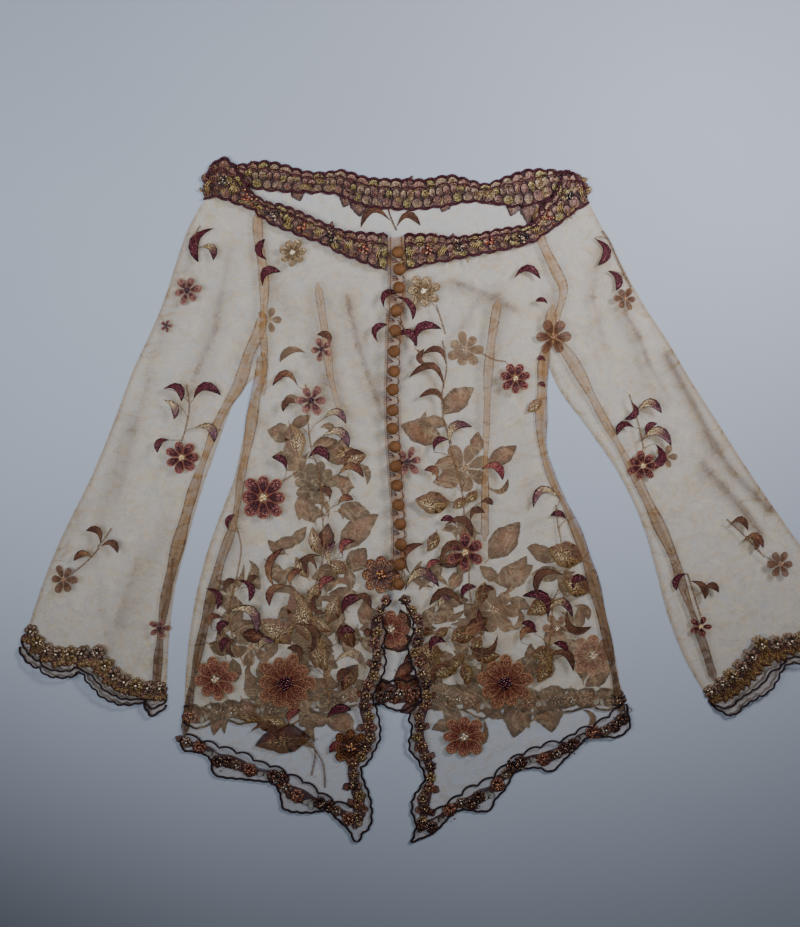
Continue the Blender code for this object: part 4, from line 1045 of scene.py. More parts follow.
# Threads: the rim's cord, the ground at the base and at the tip, and the flecks there.
THREADS = {
    "maroon": ("a0644e", "220812", "44101e", "66242c", "b87a6c"),
    "rose": ("b08a74", "3a1820", "7a4a44", "8a5450", "b48a78"),
    "rosewood": ("9c7050", "5a241a", "683a2a", "84503c", "b88c68"),
    "coral": ("a07858", "541e1c", "784034", "945644", "c49474"),
    "rust": ("80583c", "5a3424", "714a34", "7c5238", "946a4c"),
    "dusk": ("4e3628", "24160f", "3c2518", "4a3020", "5c402c"),
    "gilt": ("8e6e44", "4a3424", "745438", "a48454", "e0cc9c"),
    "copper": ("6e3c28", "0e0606", "36190f", "7a4428", "c8864e"),
    "brown_leaf": ("3c1a14", "562a1e", "744032", "84503a", "a8765a"),
    "gold_leaf": ("7a5c34", "4c2a14", "62391c", "c29a58", "fcecba"),
    "rust_leaf": ("481c14", "6c3626", "8a4e38", "985e44", "b87e5e"),
    "olive_leaf": ("6c4526", "442412", "5a341c", "86603a", "ccae78"),
    "tan_comma": ("442620", "8a6446", "643a2c", "a88058", "845444"),
    "maroon_comma": ("20060d", "44101c", "380c18", "74303a", "925058"),
    "two_comma": ("30121a", "8a6a44", "3c1420", "e2cf98", "8a4a50"),
    "rose_comma": ("3e161c", "86483e", "5e1e28", "b27460", "a45c58"),
    "brown_comma": ("442c20", "674432", "523226", "7c583e", "6c4a38"),
    "maroon_fan": ("2c0c16", "341218", "502420", "6e4434", "a88458"),
    "rose_fan": ("2c0e18", "482420", "6c443a", "86584a", "b89074"),
    "gold_fan": ("22100f", "382818", "584828", "8a7438", "d8c070"),
    "dull_fan": ("2e1218", "4e3430", "785c4c", "927458", "c8ac80"),
    "bead_loop": ("1a0d0a", "38231a", "5c4030", "80604a", "c49c7c"),
    "dark_loop": ("120809", "1e0f0e", "341a18", "4e2c24", "8a5a44"),
    "gold_loop": ("24140c", "4a3018", "6e5028", "8c6a38", "cbb078"),
    "copper_loop": ("200f0c", "3c1c16", "60342a", "8a5440", "c88c6c"),
    "gilt_leaf": ("6a5030", "4a3420", "6b4e2e", "9a7a44", "d8b878"),
    "dull_leaf": ("3a1c20", "4a302a", "6b4a3e", "866050", "a88670"),
    "clear_loop": ("1c0e12", "8f8c84", "a8a69c", "a5a298", "c4c2b8"),
    "gold_dash": ("6a4c20", "a88438", "c4a04c", "dcc078", "f4e4b0"),
}


def motif(work, pattern, base, tip, width, threads, bulge=0.0, above=0.5, high=1.0,
          slot=SATIN_SLOT, other=None):
    """Sews one pattern piece from base to tip, bent to the left by its bulge. other names the
    threads of its right half, where they differ."""
    points, faces, rim = pattern
    base, tip = array(base), array(tip)
    chord = tip - base
    length = np.linalg.norm(chord)
    u, v = points[:, :1], points[:, 1:2]
    lean = array((-chord[1], chord[0])) * bulge
    way = chord + 4 * lean * (1 - 2 * u)
    way /= np.linalg.norm(way, axis=1)[:, None]
    plan = base + chord * u + 4 * lean * u * (1 - u) + np.c_[-way[:, 1], way[:, 0]] * v * width / 2
    share = soft_step((u - 0.25) / 0.5)

    def laid(name):
        edge, *ground = (rgb(code) for code in THREADS[name])
        return [(ground[i] * (1 - share) + ground[i + 1] * share) * (1 - rim) + edge * rim
                for i in (0, 2)]

    tint, fleck = laid(threads)
    if other:
        tint, fleck = (np.where(v < 0, far, near) for near, far in zip((tint, fleck), laid(other)))
    run = np.c_[u * length, v * width / 2] + base * 0.37
    work.add(plan, above + np.maximum(points[:, 2], -0.2) * high, faces, slot, tint, fleck, run)


def cord(work, line, radius, code, above=0.5, corners=5, glint=None, spacing=None):
    """A cord couched down along a line in plan."""
    line = even(array(line), spacing or max(1.6, 2.2 * radius))
    side = sides(line)
    turn = np.arange(corners) * 2 * math.pi / corners
    plan = line[:, None] + side[:, None] * (radius * np.cos(turn))[None, :, None]
    rise = np.tile(above + radius * (0.6 + np.sin(turn)), len(line))
    count = len(line)
    here = np.arange(count - 1)[:, None] * corners
    a, b = here + np.arange(corners), here + (np.arange(corners) + 1) % corners
    faces = np.stack([b, b + corners, a + corners, a, b, a + corners], axis=2).reshape(-1, 3)
    last = (count - 1) * corners
    ends = [(last, last + i + 1, last + i) for i in range(1, corners - 1)]
    ends += [(0, i, i + 1) for i in range(1, corners - 1)]
    run = np.c_[np.repeat(lengths(line) * reach(line), corners), np.tile(turn * radius, count)]
    work.add(plan.reshape(-1, 2), rise, np.vstack([faces, ends]), CORD_SLOT, rgb(code),
             rgb(glint or code), run)


def beads(work, pattern, centres, radius, codes, above=0.6):
    """Sews a bead at each centre, in the colours given in turn."""
    centres = array(centres).reshape(-1, 2)
    points, faces = pattern
    plan = (centres[:, None] + points[None, :, :2] * radius).reshape(-1, 2)
    rise = np.tile(above + radius * (0.8 + points[:, 2]), len(centres))
    colours = np.array([rgb(codes[i % len(codes)]) for i in range(len(centres))])
    tints = np.repeat(colours, len(points), axis=0)
    index = np.arange(len(centres))[:, None, None] * len(points) + faces[None]
    work.add(plan, rise, index.reshape(-1, 3), BEAD_SLOT, tints, tints, plan)


def polar(centre, radius, angle):
    return array(centre) + radius * np.array([math.cos(angle), math.sin(angle)])


# How each flower's petals are sewn, and the beads in its middle.
FLOWER_KINDS = {
    "maroon": (SATIN_SLOT, ("c9a063", "e6d3a8")), "rose": (SATIN_SLOT, ("2e0f18", "4a1a26")),
    "rosewood": (SATIN_SLOT, ("5a1824", "3c0f1a")), "coral": (SATIN_SLOT, ("e2d2bc", "b08a68")),
    "rust": (FLAT_SLOT, ("b08a68", "8a5a40")), "dusk": (SATIN_SLOT, ("8f6a4a", "2c1a10")),
    "gilt": (GILT_SLOT, ("f4ead8", "e2c890")), "copper": (GILT_SLOT, ("3a1610", "c88a54")),
}


KNOTS = {"rosewood": (18, 0.24), "rose": (12, 0.18), "copper": (14, 0.22)}  # seeds, spread


def flower(work, x, y, radius, petals, turn, threads):
    """A flower of corded petals round a knot of beads."""
    slot, knot = FLOWER_KINDS[threads]
    centre = (x, y)
    for number in range(petals):
        angle = math.radians(turn) + 2 * math.pi * number / petals
        long = radius * (0.97 + 0.07 * math.sin(3.1 * number + x))
        wide = min(2 * radius * math.sin(math.pi / petals) * 0.88, radius * 0.62)
        motif(work, PETAL, polar(centre, radius * 0.16, angle), polar(centre, long, angle),
              wide * (1 + 0.08 * math.sin(5.3 * number + y)), threads,
              above=0.4 + 0.3 * (number % 2), high=0.5 if slot == FLAT_SLOT else 1.1, slot=slot)
    count, spread = KNOTS.get(threads, (9, 0.15))
    spots = [polar(centre, radius * spread * math.sqrt((number + 0.5) / count), number * 2.4)
             for number in range(count)]
    size = radius * 0.05 + 0.5
    beads(work, SEED, spots, size, knot, above=1.2)


LEAF_KINDS = {
    "brown": ("brown_leaf", "brown_leaf", FLAT_SLOT), "rust": ("rust_leaf", "rust_leaf", FLAT_SLOT),
    "gold": ("gold_leaf", "olive_leaf", GILT_SLOT), "dull": ("dull_leaf", "dull_leaf", GILT_SLOT),
    "olive": ("olive_leaf", "brown_leaf", FLAT_SLOT),
}


def leaf(work, base_x, base_y, tip_x, tip_y, width, kind):
    """A toothed leaf with a raised midrib, its halves sewn in two threads."""
    near, far, slot = LEAF_KINDS[kind]
    base, tip = array((base_x, base_y)), array((tip_x, tip_y))
    bulge = 0.06 * math.sin(base_x + base_y)
    motif(work, LEAF, base, tip, width, near, bulge, above=0.3, high=0.6, slot=slot, other=far)
    share = np.linspace(-0.12, 0.9, 7)[:, None]
    lean = array((base[1] - tip[1], tip[0] - base[0])) * bulge
    rib = base + (tip - base) * share + 4 * lean * share * (1 - share)
    cord(work, rib, 0.4, "8f7452", above=0.6, corners=4)


def comma(work, base_x, base_y, tip_x, tip_y, width, bulge, threads):
    """A curled comma of satin stitch, as the sprays carry along their stems."""
    motif(work, COMMA, (base_x, base_y), (tip_x, tip_y), width * 0.85, f"{threads}_comma",
          bulge * 1.45, above=0.45, high=1.0, slot=GILT_SLOT if threads == "two" else SATIN_SLOT)


def stem(work, points, code, apart=1.1, radius=0.38):
    """A stem of two fine cords side by side, which wander a little."""
    line = even(rounded(array(points), 5), 3.0)
    run = lengths(line) * reach(line)
    sway = sides(line) * (1.1 * np.sin(run / 14 + line[0, 0]))[:, None]
    off = sides(line) * apart
    for side in (-0.5, 0.5):
        cord(work, line + sway + off * side, radius, code, above=0.4, corners=4, glint="b89468",
             spacing=3.0)


def branch(work, base, stems):
    """A fine cord that curls from a motif's base into the nearest stem, running with it."""
    base = array(base)
    near = [np.linalg.norm(line - base, axis=1) for line in stems]
    nearest = min(range(len(stems)), key=lambda index: near[index].min())
    line, place_on = stems[nearest], near[nearest].argmin()
    gap = near[nearest].min()
    if not 3 < gap < BRANCH_REACH:
        return
    join = line[min(len(line) - 1, place_on + round(gap * 0.8 / STEM_STEP))]
    bend = line[place_on] * 0.55 + base * 0.25 + join * 0.2
    share = np.linspace(0, 1, 8)[:, None]
    curl = base * (1 - share) ** 2 + 2 * bend * share * (1 - share) + join * share ** 2
    cord(work, curl, 0.36, "7a5a40", above=0.4, corners=4, glint="b89468", spacing=3.0)


def on_body(x, y):
    """Whether a place lies well between the side seams."""
    left, right = (np.interp(y, rows[::-1, 1], rows[::-1, 0])
                   for rows in (array(FRONT_LEFT), array(FRONT_RIGHT)))
    return left + SEAM_SPARE < x < right - SEAM_SPARE


def clump(work, x, y, spread, count, kind):
    """Leaves and commas that crowd together where the sprays cross."""
    random = np.random.default_rng(abs(round(x * 7 + y)))
    for number in range(math.ceil(count * CLUMP_SHARE)):
        angle, off = random.uniform(0, 2 * math.pi), spread * math.sqrt(random.random())
        base = polar((x, y), off, angle)
        heading = angle + random.normal() * 0.9
        long = random.uniform(*LOOSE_LENGTH)
        tip = polar(base, long, heading)
        if not (on_body(*base) and on_body(*tip)):
            continue
        if number % 3 == 1:
            comma(work, *base, *tip, long * 0.34, random.choice((-LOOSE_CURL, LOOSE_CURL)),
                  ("brown", "tan", "two")[number % 9 // 3])
        else:
            leaf(work, *base, *tip, long * random.uniform(*LOOSE_WIDTH), kind)


def bead_flower(work, centre, radius, turn, petals=6, loops="bead_loop", middle="d8b880"):
    """A small flower of looped threads round a bead, as the borders carry."""
    for number in range(petals):
        angle = turn + number * 2 * math.pi / petals
        motif(work, LOOP, polar(centre, radius * 0.15, angle), polar(centre, radius, angle),
              radius * 0.95, loops, above=0.9 + 0.2 * (number % 2), high=1.3, slot=GILT_SLOT)
    spots = [polar(centre, radius * 0.5, turn + number * 1.9) for number in range(5)]
    beads(work, SEED, spots, radius * 0.12, ("2a1810", middle, "7a4c2c"), above=1.7)
    beads(work, PEARL, [centre], radius * 0.17, (middle,), above=1.6)


# ---------------------------------------------------------------- net panels

def worn(piece, slot, *nodes):
    """The piece is hung from the root body, and stands for the nodes that lie where it lies, which are
    hidden. The slot is not used.
    """
    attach(piece, "root")
    if nodes:
        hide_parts(*nodes)
    return piece


def net(name, plan, layer, nodes):
    """A panel of net, denser along its folded edges, and denser and browner along its creases and folds,
    partly as painted shade.
    """
    flat = plan.reshape(-1, 2)
    doubled = np.zeros(len(flat))
    if layer == "front":
        # partly doubled net, partly painted shade: creases and folds are drawn denser and browner
        doubled = 0.7 * np.abs(ridges(flat, CREASES)) + 0.2 * np.abs(ridges(flat, FOLDS))
    near = np.min([distance(flat, edge) for edge in EDGES], axis=0)
    doubled += 0.5 * np.exp(-(near / FOLD_SHADE) ** 2)
    piece = cloth(name, on(layer, plan), TULLE if layer == "front" else UNDER_TULLE,
                  doubled.reshape(plan.shape[:2]))
    return worn(piece, "net", *nodes)


left_plan = front_plan(FRONT_LEFT, NECKLINE_LEFT, HEMLINE_LEFT)
right_plan = front_plan(FRONT_RIGHT, NECKLINE_RIGHT, HEMLINE_RIGHT)
whole_back = back_plan()
panels = {
    "back": net("back_net", whole_back, "back", ("back",)),
    "front_left": net("front_left_net", left_plan, "front", ("front_left",)),
    "front_right": net("front_right_net", right_plan, "front", ("front_right",)),
}
cuff_seams = {}
for side, table, shoulder, front_table, seam in (
    ("left", SLEEVE_LEFT, SHOULDER_LEFT, FRONT_LEFT, CUFF_LEFT_SEAM),
    ("right", SLEEVE_RIGHT, SHOULDER_RIGHT, FRONT_RIGHT, CUFF_RIGHT_SEAM),
):
    upper, under = sleeve_plans(table, shoulder, front_table, seam)
    name = f"sleeve_{side}"
    nodes = [f"{name}_{strip}" for strip in ("outer", "crown", "inner")]
    panels[f"{name}_upper"] = net(f"{name}_upper_net", upper, "front", nodes)
    panels[f"{name}_under"] = net(f"{name}_under_net", under, "back", [f"{name}_under"])
    cuff_seams[side] = upper[-1]
sewn_on = {name: [] for name in panels}


# ---------------------------------------------------------------- seams and darts

for name, panel_name, width, points in ALLOWANCES:
    line = even(rounded(array(points)), 4.0)
    run = lengths(line) * reach(line)
    wide = 0.85 * width * (1 + 0.25 * np.sin(run / 37) + 0.15 * np.sin(run / 11))
    wide *= np.clip(np.minimum(run, run[-1] - run) / 9, 0.3, 1)
    shares = np.linspace(-0.5, 0.5, 7)
    strip = line[:, None] + sides(line)[:, None] * shares[None, :, None] * wide[:, None, None]
    edges_and_hem_shade = 0.9 * (np.abs(shares) > 0.4) + 0.2 * (shares == 0) + 0 * strip[..., 0]
    edges_and_hem_shade = edges_and_hem_shade + np.clip((60 - strip[..., 1]) / 320, 0, 0.7)  # painted shade: denser and browner towards the hem
    piece = cloth(f"{name}_allowance", on("front", strip, 0.45), ALLOWANCE, edges_and_hem_shade)
    sewn_on[panel_name].append(worn(piece, "net"))


# ---------------------------------------------------------------- borders

def ground(name, band, layer, node, beaded):
    """A border's net: dense with backing where it is beaded, and clear elsewhere. beaded gives the
    shares of its width between which it is dense."""
    piece = cloth(f"{name}_ground", on(layer, band, 0.3 if layer == "front" else 0.1), CLEAR_NET)
    piece.data.materials.append(BEADED_NET)
    corners = np.empty(len(piece.data.polygons) * 4, np.int32)
    piece.data.polygons.foreach_get("vertices", corners)
    columns = band.shape[1]
    share = (corners.reshape(-1, 4) % columns).mean(axis=1) / (columns - 1)
    dense = (share > beaded[0]) & (share < beaded[1])
    piece.data.polygons.foreach_set("material_index", dense.astype(np.int32))
    return worn(piece, "border", node)


def opposite(band, count, low, high):
    """Even rows of places on two lanes of a border, each opposite the other."""
    index = np.arange(len(band))
    run = lengths((lane(band, low) + lane(band, high)) / 2)
    rows = np.interp((np.arange(count) + 0.5) / count, run, index)
    return [np.stack([np.interp(rows, index, lane(band, share)[:, i]) for i in (0, 1)], axis=1)
            for share in (low, high)]


def along_lane(band, share, spacing):
    return max(2, round(reach(lane(band, share)) / spacing))


def strewn(band, count, low, high, seed):
    """Uneven places in a border, the same each time."""
    random = np.random.default_rng(seed)
    rows = random.integers(0, len(band), count)
    shares = random.uniform(low, high, (count, 1))
    return band[rows, 0] + (band[rows, -1] - band[rows, 0]) * shares


NECK_FANS = ("maroon_fan", "gold_fan", "rose_fan", "maroon_fan", "rose_fan")


def dashes(work, base, tip, number, apart):
    """A few short gold stitches side by side, slanted from base to tip."""
    across = tip - base
    run = array((across[1], -across[0])) / np.linalg.norm(across)
    for dash in range(number):
        start = base + run * (dash - number / 2) * apart
        motif(work, LOOP, start, start + across + run * 3, apart * 0.62, "gold_dash", bulge=0.2,
              above=2.0, slot=GILT_SLOT)


def knot(work, middle, spread, number, pattern, size, codes, seed):
    """Beads crowded round a place."""
    random = np.random.default_rng(seed)
    beads(work, pattern, middle + random.normal(size=(number, 2)) * spread, size, codes, above=2.0)


def neck_beading(work, band, scallops, bright, seed):
    """Corded lobes along both sides of a neck border, filled with mixed threads. A bright one has
    bead clusters, copper sequins and gold dashes turn by turn."""
    centre = lane(band, 0.5)[len(band) // 2]
    inner = scalloped(lane(band, 0.04)[::6], 2 * band[len(band) // 2, 0] - centre, 17.0, 2.6)
    for line, radius in ((inner, 1.35), (lane(band, 1.0), 1.45), (lane(band, 0.74), 0.8)):
        cord(work, line, radius, "360e1b", above=0.9, glint="6e303c")
    kinds = NECK_FANS if bright else ("dull_fan", "rose_fan", "dull_fan", "gold_fan", "rose_fan")
    rows = ((scallops, 0.6, 0.97, 0.98, 0.9), (along_lane(band, 0.5, 8.5), 0.36, 0.68, 0.95, 1.2),
            (along_lane(band, 0.0, 12.0), 0.36, 0.02, 0.95, 0.9))
    for count, low, high, fullness, above in rows:
        pitch = reach(lane(band, high)) / count
        for number, (base, tip) in enumerate(zip(*opposite(band, count, low, high))):
            uneven = 1 + 0.15 * math.sin(2.7 * number + seed)
            motif(work, FAN, base + (base - tip) * 0.1 * uneven, tip, pitch * fullness * uneven,
                  kinds[(number * 2 + seed) % len(kinds)], above=above, high=0.9, slot=GILT_SLOT)
    random = np.random.default_rng(seed + 40)
    for number, spot in enumerate(strewn(band, 2 * scallops, 0.12, 0.8, seed + 9)):
        tip = polar(spot, random.uniform(9, 15), random.uniform(0, 2 * math.pi))
        motif(work, (LEAF, LOOP)[number % 2], spot, tip, (6.5, 4.0)[number % 2],
              ("gilt_leaf", "gold_loop", "dull_leaf", "dark_loop")[number % 4],
              bulge=random.uniform(-0.2, 0.2), above=1.3, high=0.8, slot=GILT_SLOT)
    beads(work, SEED, strewn(band, 110, 0.1, 0.9, seed), 0.75, ("a8804c", "4a2420", "1e0d10"), 2.0)
    if not bright:
        return
    starts, ends = opposite(band, along_lane(band, 0.5, 19.0), 0.2, 0.75)
    for number, (base, tip) in enumerate(zip(starts, ends)):
        middle = (base + tip) / 2
        if number % 4 == 1:
            knot(work, middle, 3.6, 34, SEED, 1.2, ("0e0809", "241414", "140c0c", "cbb08c"), number)
        elif number % 4 == 3:
            knot(work, middle, 3.0, 16, SEQUIN, 1.4, ("a04a34", "d89068", "5a241e"), number)
        else:
            dashes(work, base, base + (tip - base) * 0.7, 2 + number % 3, 2.4)


def cuff_beading(work, band, seed):
    """Looped bead flowers along a cuff's seam, striped leaves under them, and two wavy cords."""
    for share in (0.76, 1.0):
        cord(work, lane(band, share), 1.15, "1c0d11", above=0.8, glint="4a2c32")
    tops, lows = opposite(band, along_lane(band, 0.4, 16.0), 0.14, 0.5)
    for number, (top, low) in enumerate(zip(tops, lows)):
        out = low - top
        step = array((-out[1], out[0])) * 0.4
        for lean in (-1.6, 0, 1.6):
            motif(work, LEAF, top + out * 0.3, low + out * 0.35 + step * lean, 9.0, "gilt_leaf",
                  above=0.4, high=0.9, slot=GILT_SLOT, other="brown_leaf")
        bead_flower(work, top + out * 0.15 * math.sin(number), 8.6, number * 0.7 + seed, 6,
                    "gold_loop" if number % 3 == 1 else "bead_loop", "ecd8b8")
    beads(work, SEED, strewn(band, 140, 0.05, 0.66, seed), 0.8,
          ("1e100e", "6b4428", "2a1814", "b8905c"), 1.2)


def cluster(work, middle, out, kind, turn):
    """What sits between the cords of a hem: flowers of loops with their beads, by turns."""
    run = array((out[1], -out[0])) / np.linalg.norm(out)
    if kind == 0:
        for off in (-6.5, 5.5):
            bead_flower(work, middle + run * off + out * 0.05 * off / 6, 8.2, turn + off, 7, "dark_loop",
                        "8a5a44")
        knot(work, middle, 4.6, 26, SEED, 1.1, ("120a0a", "2c1a16", "c0a080", "160c0c"), int(turn))
    elif kind == 1:
        for lean in (-1, 1):
            motif(work, PETAL, middle - out * 0.3 + run * 2 * lean, middle + out * 0.3 + run * 8 * lean,
                  8.5, "clear_loop", bulge=0.25 * lean, above=0.5, high=0.8, slot=FLAT_SLOT)
    elif kind == 2:
        bead_flower(work, middle, 9.0, turn, 7, "copper_loop", "b07c58")
        knot(work, middle, 3.2, 12, SEQUIN, 1.3, ("8a4630", "c89070", "5a2c20"), int(turn))
    else:
        bead_flower(work, middle, 7.0, turn, 6, "bead_loop", "e0d8c8")
        motif(work, LEAF, middle + run * 4, middle + run * 15, 8, "brown_leaf", above=0.5,
              slot=FLAT_SLOT)


def hem_beading(work, band, seed, dim=False):
    """Two wavy cords along a hem, and between them bead clusters and clear corded loops."""
    cord(work, lane(band, 1.0), 1.25, "1a0c10", above=0.8, glint="40262c")
    row = len(band) // 2
    inner = scalloped(lane(band, 0.12)[::8], band[row, 0] * 2 - band[row, -1], 22.0, 4.5)
    cord(work, inner, 1.15, "1e0f12", above=0.8, glint="40262c")
    lows, highs = opposite(band, along_lane(band, 0.5, 17.0), 0.28, 0.78)
    for number, (low, high) in enumerate(zip(lows, highs)):
        cluster(work, (low + high) / 2, high - low, (number * 3 + seed) % 4, number * 0.9)
        if dim:
            leaf(work, *(low + (low - high) * 0.8), *(high - (high - low) * 0.3 + (8, 0)), 15, "brown")
            leaf(work, *low, *(high + (-9, -3)), 12, "rust")


def slit_beading(work, band, seed):
    """A close row of looped flowers and short leaves down a slit, and a corded scalloped edge."""
    cord(work, lane(band, 1.0), 1.3, "1a0c10", above=0.8, glint="40262c")
    lows, highs = opposite(band, along_lane(band, 0.4, 13.0), 0.2, 0.66)
    for number, (low, high) in enumerate(zip(lows, highs)):
        out = high - low
        loops = ("bead_loop", "dark_loop", "gold_loop", "copper_loop")[(number + seed) % 4]
        bead_flower(work, low + out * (0.3 + 0.35 * (number % 2)), 6.8, number * 0.9 + seed, 6, loops)
        motif(work, FAN, low + out * 0.5, high + out * 0.35, 9.0, ("rose_fan", "dull_fan")[number % 2],
              above=0.5, slot=GILT_SLOT)
        if number % 3 == 0:
            motif(work, LEAF, low, low - out * 1.1 + (0, -7), 9, "brown_leaf", above=0.5, slot=FLAT_SLOT)
    beads(work, SEED, strewn(band, 120, 0.1, 0.8, seed), 0.8, ("1e100e", "7a4c30", "2a1814", "c89868"),
          1.4)


def border(name, panel_name, band, layer, beaded, beading, *details):
    """A border sewn to a panel: its net and its beading."""
    work = Needlework(f"{name}_beading", layer)
    beading(work, band, *details)
    sewn_on[panel_name] += [ground(name, band, layer, name, beaded), worn(work.sewn(), "border")]


def seams_of(shoulder, plan):
    return np.vstack([rounded(array(shoulder)[:, :2])[:-1], plan[0]])


def neck_border(name, panel_name, layer, seam, edge, out_to, bright, seed):
    band = band_plan(seam, scalloped(edge, out_to))
    scallops = round(reach(rounded(edge)) / SCALLOP_PITCH)
    border(name, panel_name, band, layer, (0, 1), neck_beading, scallops, bright, seed)


NECK_MIDDLE = NECKLINE_BACK[7]
BELOW = (-50, -900)
slit_start = round((len(left_plan) - 1) * SLIT_ROW / FRONT_ROWS)
for side, plan, shoulder, neck_edge, hem_edge, slit_edge, seed in (
    ("left", left_plan, SHOULDER_LEFT, NECK_LEFT_EDGE, HEM_LEFT_EDGE, SLIT_LEFT_EDGE, 3),
    ("right", right_plan, SHOULDER_RIGHT, NECK_RIGHT_EDGE, HEM_RIGHT_EDGE, SLIT_RIGHT_EDGE, 5),
):
    neck_border(f"neck_{side}", f"front_{side}", "front", seams_of(shoulder, plan), array(neck_edge),
                NECK_MIDDLE, True, seed)
    border(f"hem_{side}", f"front_{side}",
           band_plan(plan[-1], scalloped(array(hem_edge), BELOW, 11.0, 1.6)), "front", (0.3, 0.72),
           hem_beading, seed)
    border(f"slit_{side}", f"front_{side}",
           band_plan(plan[slit_start:, -1], scalloped(array(slit_edge), SLIT_MIDDLE, 12.0, 2.4)),
           "front", (0.05, 0.68), slit_beading, seed)
neck_seam = np.vstack([array(SHOULDER_LEFT)[2:-1, 2:], whole_back[0],
                       array(SHOULDER_RIGHT)[-2:1:-1, 2:]])
neck_border("neck_back", "back", "back", neck_seam, array(NECK_BACK_EDGE), (0, 600), False, 7)
drops = Needlework("neck_back_leaves", "back")
for base_x, base_y, tip_x, tip_y, width in NECK_DROPS:
    leaf(drops, base_x, base_y, tip_x, tip_y, width, "dull")
sewn_on["back"].append(worn(drops.sewn(), "border"))
border("hem_back", "back", band_plan(whole_back[-1], scalloped(array(HEM_BACK_EDGE), BELOW, 11.0, 1.6)),
       "back", (0.2, 0.8), hem_beading, 2, True)
for side, edge in (("left", CUFF_LEFT_EDGE), ("right", CUFF_RIGHT_EDGE)):
    band = band_plan(cuff_seams[side], scalloped(array(edge), BELOW, 12.0, 2.6))
    for layer, where in (("front", "upper"), ("back", "under")):
        border(f"cuff_{side}_{where}", f"sleeve_{side}_{where}", band, layer, (0.08, 0.5), cuff_beading,
               len(side))


# ---------------------------------------------------------------- button strip and buttons

def strip_plan():
    """The strip between the fronts' edges, up between the ends of the neck border."""
    head = array((NECK_LEFT_EDGE[-1], NECK_RIGHT_EDGE[-1]))[None]
    rows = np.stack([left_plan[:slit_start, -1], right_plan[:slit_start, -1]], axis=1)
    rows = np.concatenate([head, rows])
    middle = even(np.hstack([rows[:, 0], rows[:, 1]]), 4.0)
    shares = np.linspace(0, 1, 7)[None, :, None]
    return middle[:, None, :2] + (middle[:, None, 2:] - middle[:, None, :2]) * shares


strip = strip_plan()
# painted shadow of the buttons: the strip is drawn denser and browner towards its left side, with a
# ripple down its length
gathered = np.linspace(0.5, 0.0, strip.shape[1])[None, :] * (1 + 0.3 * np.sin(strip[..., 1] / 3.1))
piece = cloth("button_strip_net", on("front", strip, 0.4), STRIP_NET, gathered)
sewn_on["front_left"].append(worn(piece, "strip", "button_strip"))
loops = Needlework("button_loops", "front")
for (x, y), (next_x, next_y) in zip(BUTTONS, BUTTONS[1:]):
    x, y = (x + next_x) / 2, (y + next_y) / 2
    for number in range(3):
        cord(loops, [(x - 8, y + 3 - 2 * number), (x - 5, y + 4 - 2.4 * number), (x - 1, y)], 0.45,
             ("4a1c26", "5c2a2e", "6b4428")[number], above=1.0)
    cord(loops, rounded(array([(x - 4, y + 6), (x + 5, y + 3), (x + 6, y - 3), (x - 4, y - 6)])), 0.45,
         "5a3a22", above=1.2)
for column in (1, 5):
    cord(loops, strip[:, column], 0.45, "7e5430", above=0.7)  # the strip's folded edges
sewn_on["front_left"].append(worn(loops.sewn(), "border"))


def button_form():
    """A covered ball button: a flattened ball, gathered into its shank underneath."""
    nothing_selected()
    bpy.ops.mesh.primitive_uv_sphere_add(segments=24, ring_count=14, radius=0.5)
    piece = bpy.context.object
    for vertex in piece.data.vertices:
        angle = math.atan2(vertex.co.y, vertex.co.x)
        low = max(0.0, -vertex.co.z)
        vertex.co.xy *= 1 - 0.10 * low * (1 + math.cos(12 * angle))
        vertex.co.z *= 1.0 - 0.1 * max(0.0, vertex.co.z)
    bpy.ops.object.shade_smooth()
    return piece


pattern_button = button_form()
for number in range(1, len(BUTTONS) + 1):
    low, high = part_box(f"button_{number:02d}")
    piece = pattern_button.copy()
    piece.data = pattern_button.data.copy()
    piece.name = piece.data.name = f"covered_button_{number:02d}"
    bpy.context.scene.collection.objects.link(piece)
    size, centre = high - low, (high + low) / 2
    for vertex in piece.data.vertices:
        vertex.co = [c * s + m for c, s, m in zip(vertex.co, size, centre)]
    piece.data.materials.append(BUTTON_SATIN)
    sewn_on["front_left"].append(worn(piece, "satin", f"button_{number:02d}"))
bpy.data.objects.remove(pattern_button, do_unlink=True)


# ---------------------------------------------------------------- embroidery

works = {}


def work_on(layer, x):
    """The needlework that a motif belongs to, by its layer and its place across the blouse."""
    sleeve = x < SIDE_SPLITS[0] or x > SIDE_SPLITS[2]
    side = "left" if x < SIDE_SPLITS[1] else "right"
    if sleeve:
        panel_name = f"sleeve_{side}_{'upper' if layer == 'front' else 'under'}"
    else:
        panel_name = f"front_{side}" if layer == "front" else "back"
    name = f"{panel_name}_embroidery" if panel_name != "back" else f"back_{side}_embroidery"
    if name not in works:
        works[name] = panel_name, Needlework(name, layer)
    return works[name][1]


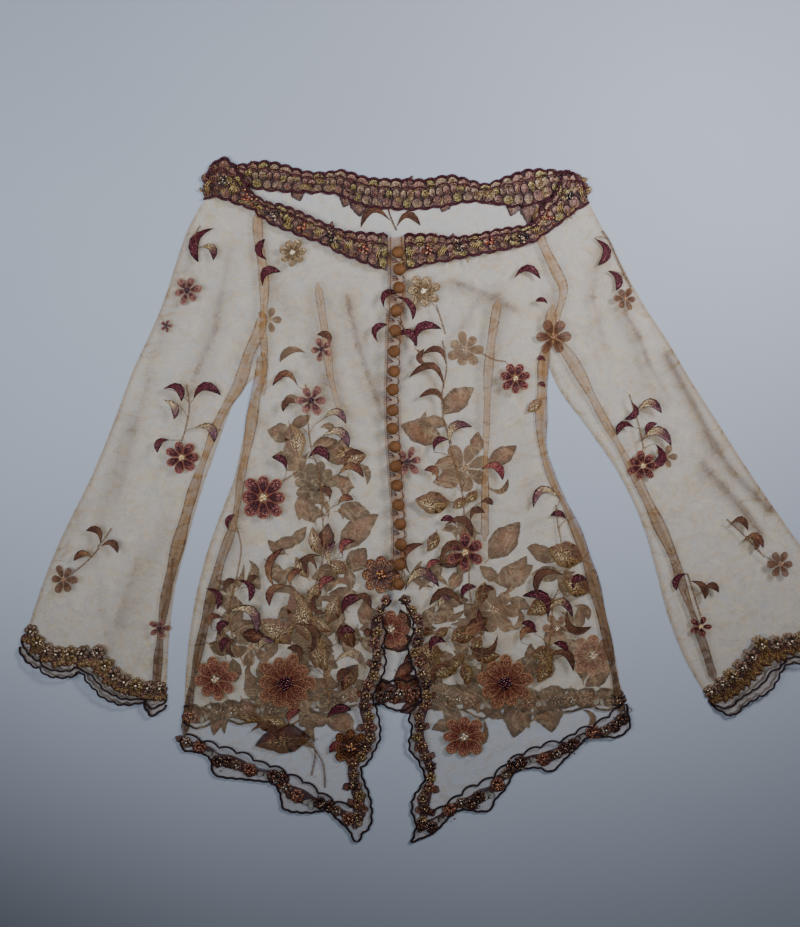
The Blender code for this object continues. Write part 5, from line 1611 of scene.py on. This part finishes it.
for layer, points_x, points_y, spread, count, kind in CLUMPS:
    clump(work_on(layer, points_x), points_x, points_y, spread, count, kind)
for layer, *details in LEAVES:
    leaf(work_on(layer, details[0]), *details)
for layer, *details in FLOWERS:
    flower(work_on(layer, details[0]), *details)
for layer, *details in COMMAS:
    comma(work_on(layer, details[0]), *details)
stem_lines = {layer: [even(rounded(array(points), 5), STEM_STEP) for there, _, points in STEMS
                      if there == layer] for layer in ("front", "back")}
for layer, code, points in STEMS:
    stem(work_on(layer, points[0][0]), points, code)
for layer, x, y, *_ in (*COMMAS, *LEAVES, *FLOWERS):
    branch(work_on(layer, x), (x, y), stem_lines[layer])
for panel_name, work in works.values():
    sewn_on[panel_name].append(worn(work.sewn(), "border"))


# ---------------------------------------------------------------- floor, light and camera

def floor_finish():
    """Matt painted board: pale blue-grey, a little uneven, with no pattern of its own."""
    material, tree, shader = finish("pale_matt_board", {"Roughness": 0.75})
    tone = blend(tree, noise(tree, place(tree, 420.0), 3.0), colour("a7b1bd"), colour("b4bdc8"))
    tree.links.new(tone, shader.inputs["Base Color"])
    return material


nothing_selected()
bpy.ops.mesh.primitive_grid_add(x_subdivisions=8, y_subdivisions=8, size=6)
floor = bpy.context.object
floor.name = "floor"
floor.data.materials.append(floor_finish())


def softbox(name, place_at, aim, size, power, tint):
    way = Vector(aim) - Vector(place_at)
    bpy.ops.object.light_add(type="AREA", location=place_at,
                             rotation=way.to_track_quat("-Z", "Y").to_euler())
    lamp = bpy.context.object
    lamp.name = name
    lamp.data.shape = "RECTANGLE"
    lamp.data.size, lamp.data.size_y = size
    lamp.data.energy = power
    lamp.data.color = colour(tint)[:3]


softbox("window", (0.52, 0.44, 0.68), (-0.12, 0.45, 0), (0.24, 0.24), 7.0, "faf8ff")
softbox("sky", (-0.6, 0.12, 1.06), (0.0, 1.7, 0), (1.0, 1.0), 15.5, "f2f5ff")
world = bpy.data.worlds.new("studio")
world.use_nodes = True
world.node_tree.nodes["Background"].inputs["Color"].default_value = colour("c9d2de")
world.node_tree.nodes["Background"].inputs["Strength"].default_value = 0.03
bpy.context.scene.world = world

bpy.ops.object.camera_add(location=array(EYE) * MM, rotation=[math.radians(a) for a in EYE_TURN])
camera = bpy.context.object
camera.data.lens = EYE_LENS
camera.data.sensor_width = 36
camera.data.clip_start, camera.data.clip_end = 0.05, 20
bpy.context.scene.camera = camera

for name, piece in panels.items():
    rests = "floor" if name == "back" or "under" in name else name.replace("upper", "under") + "_net"
    width, length, area = CUTS[name]
    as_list(sewn_on[name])
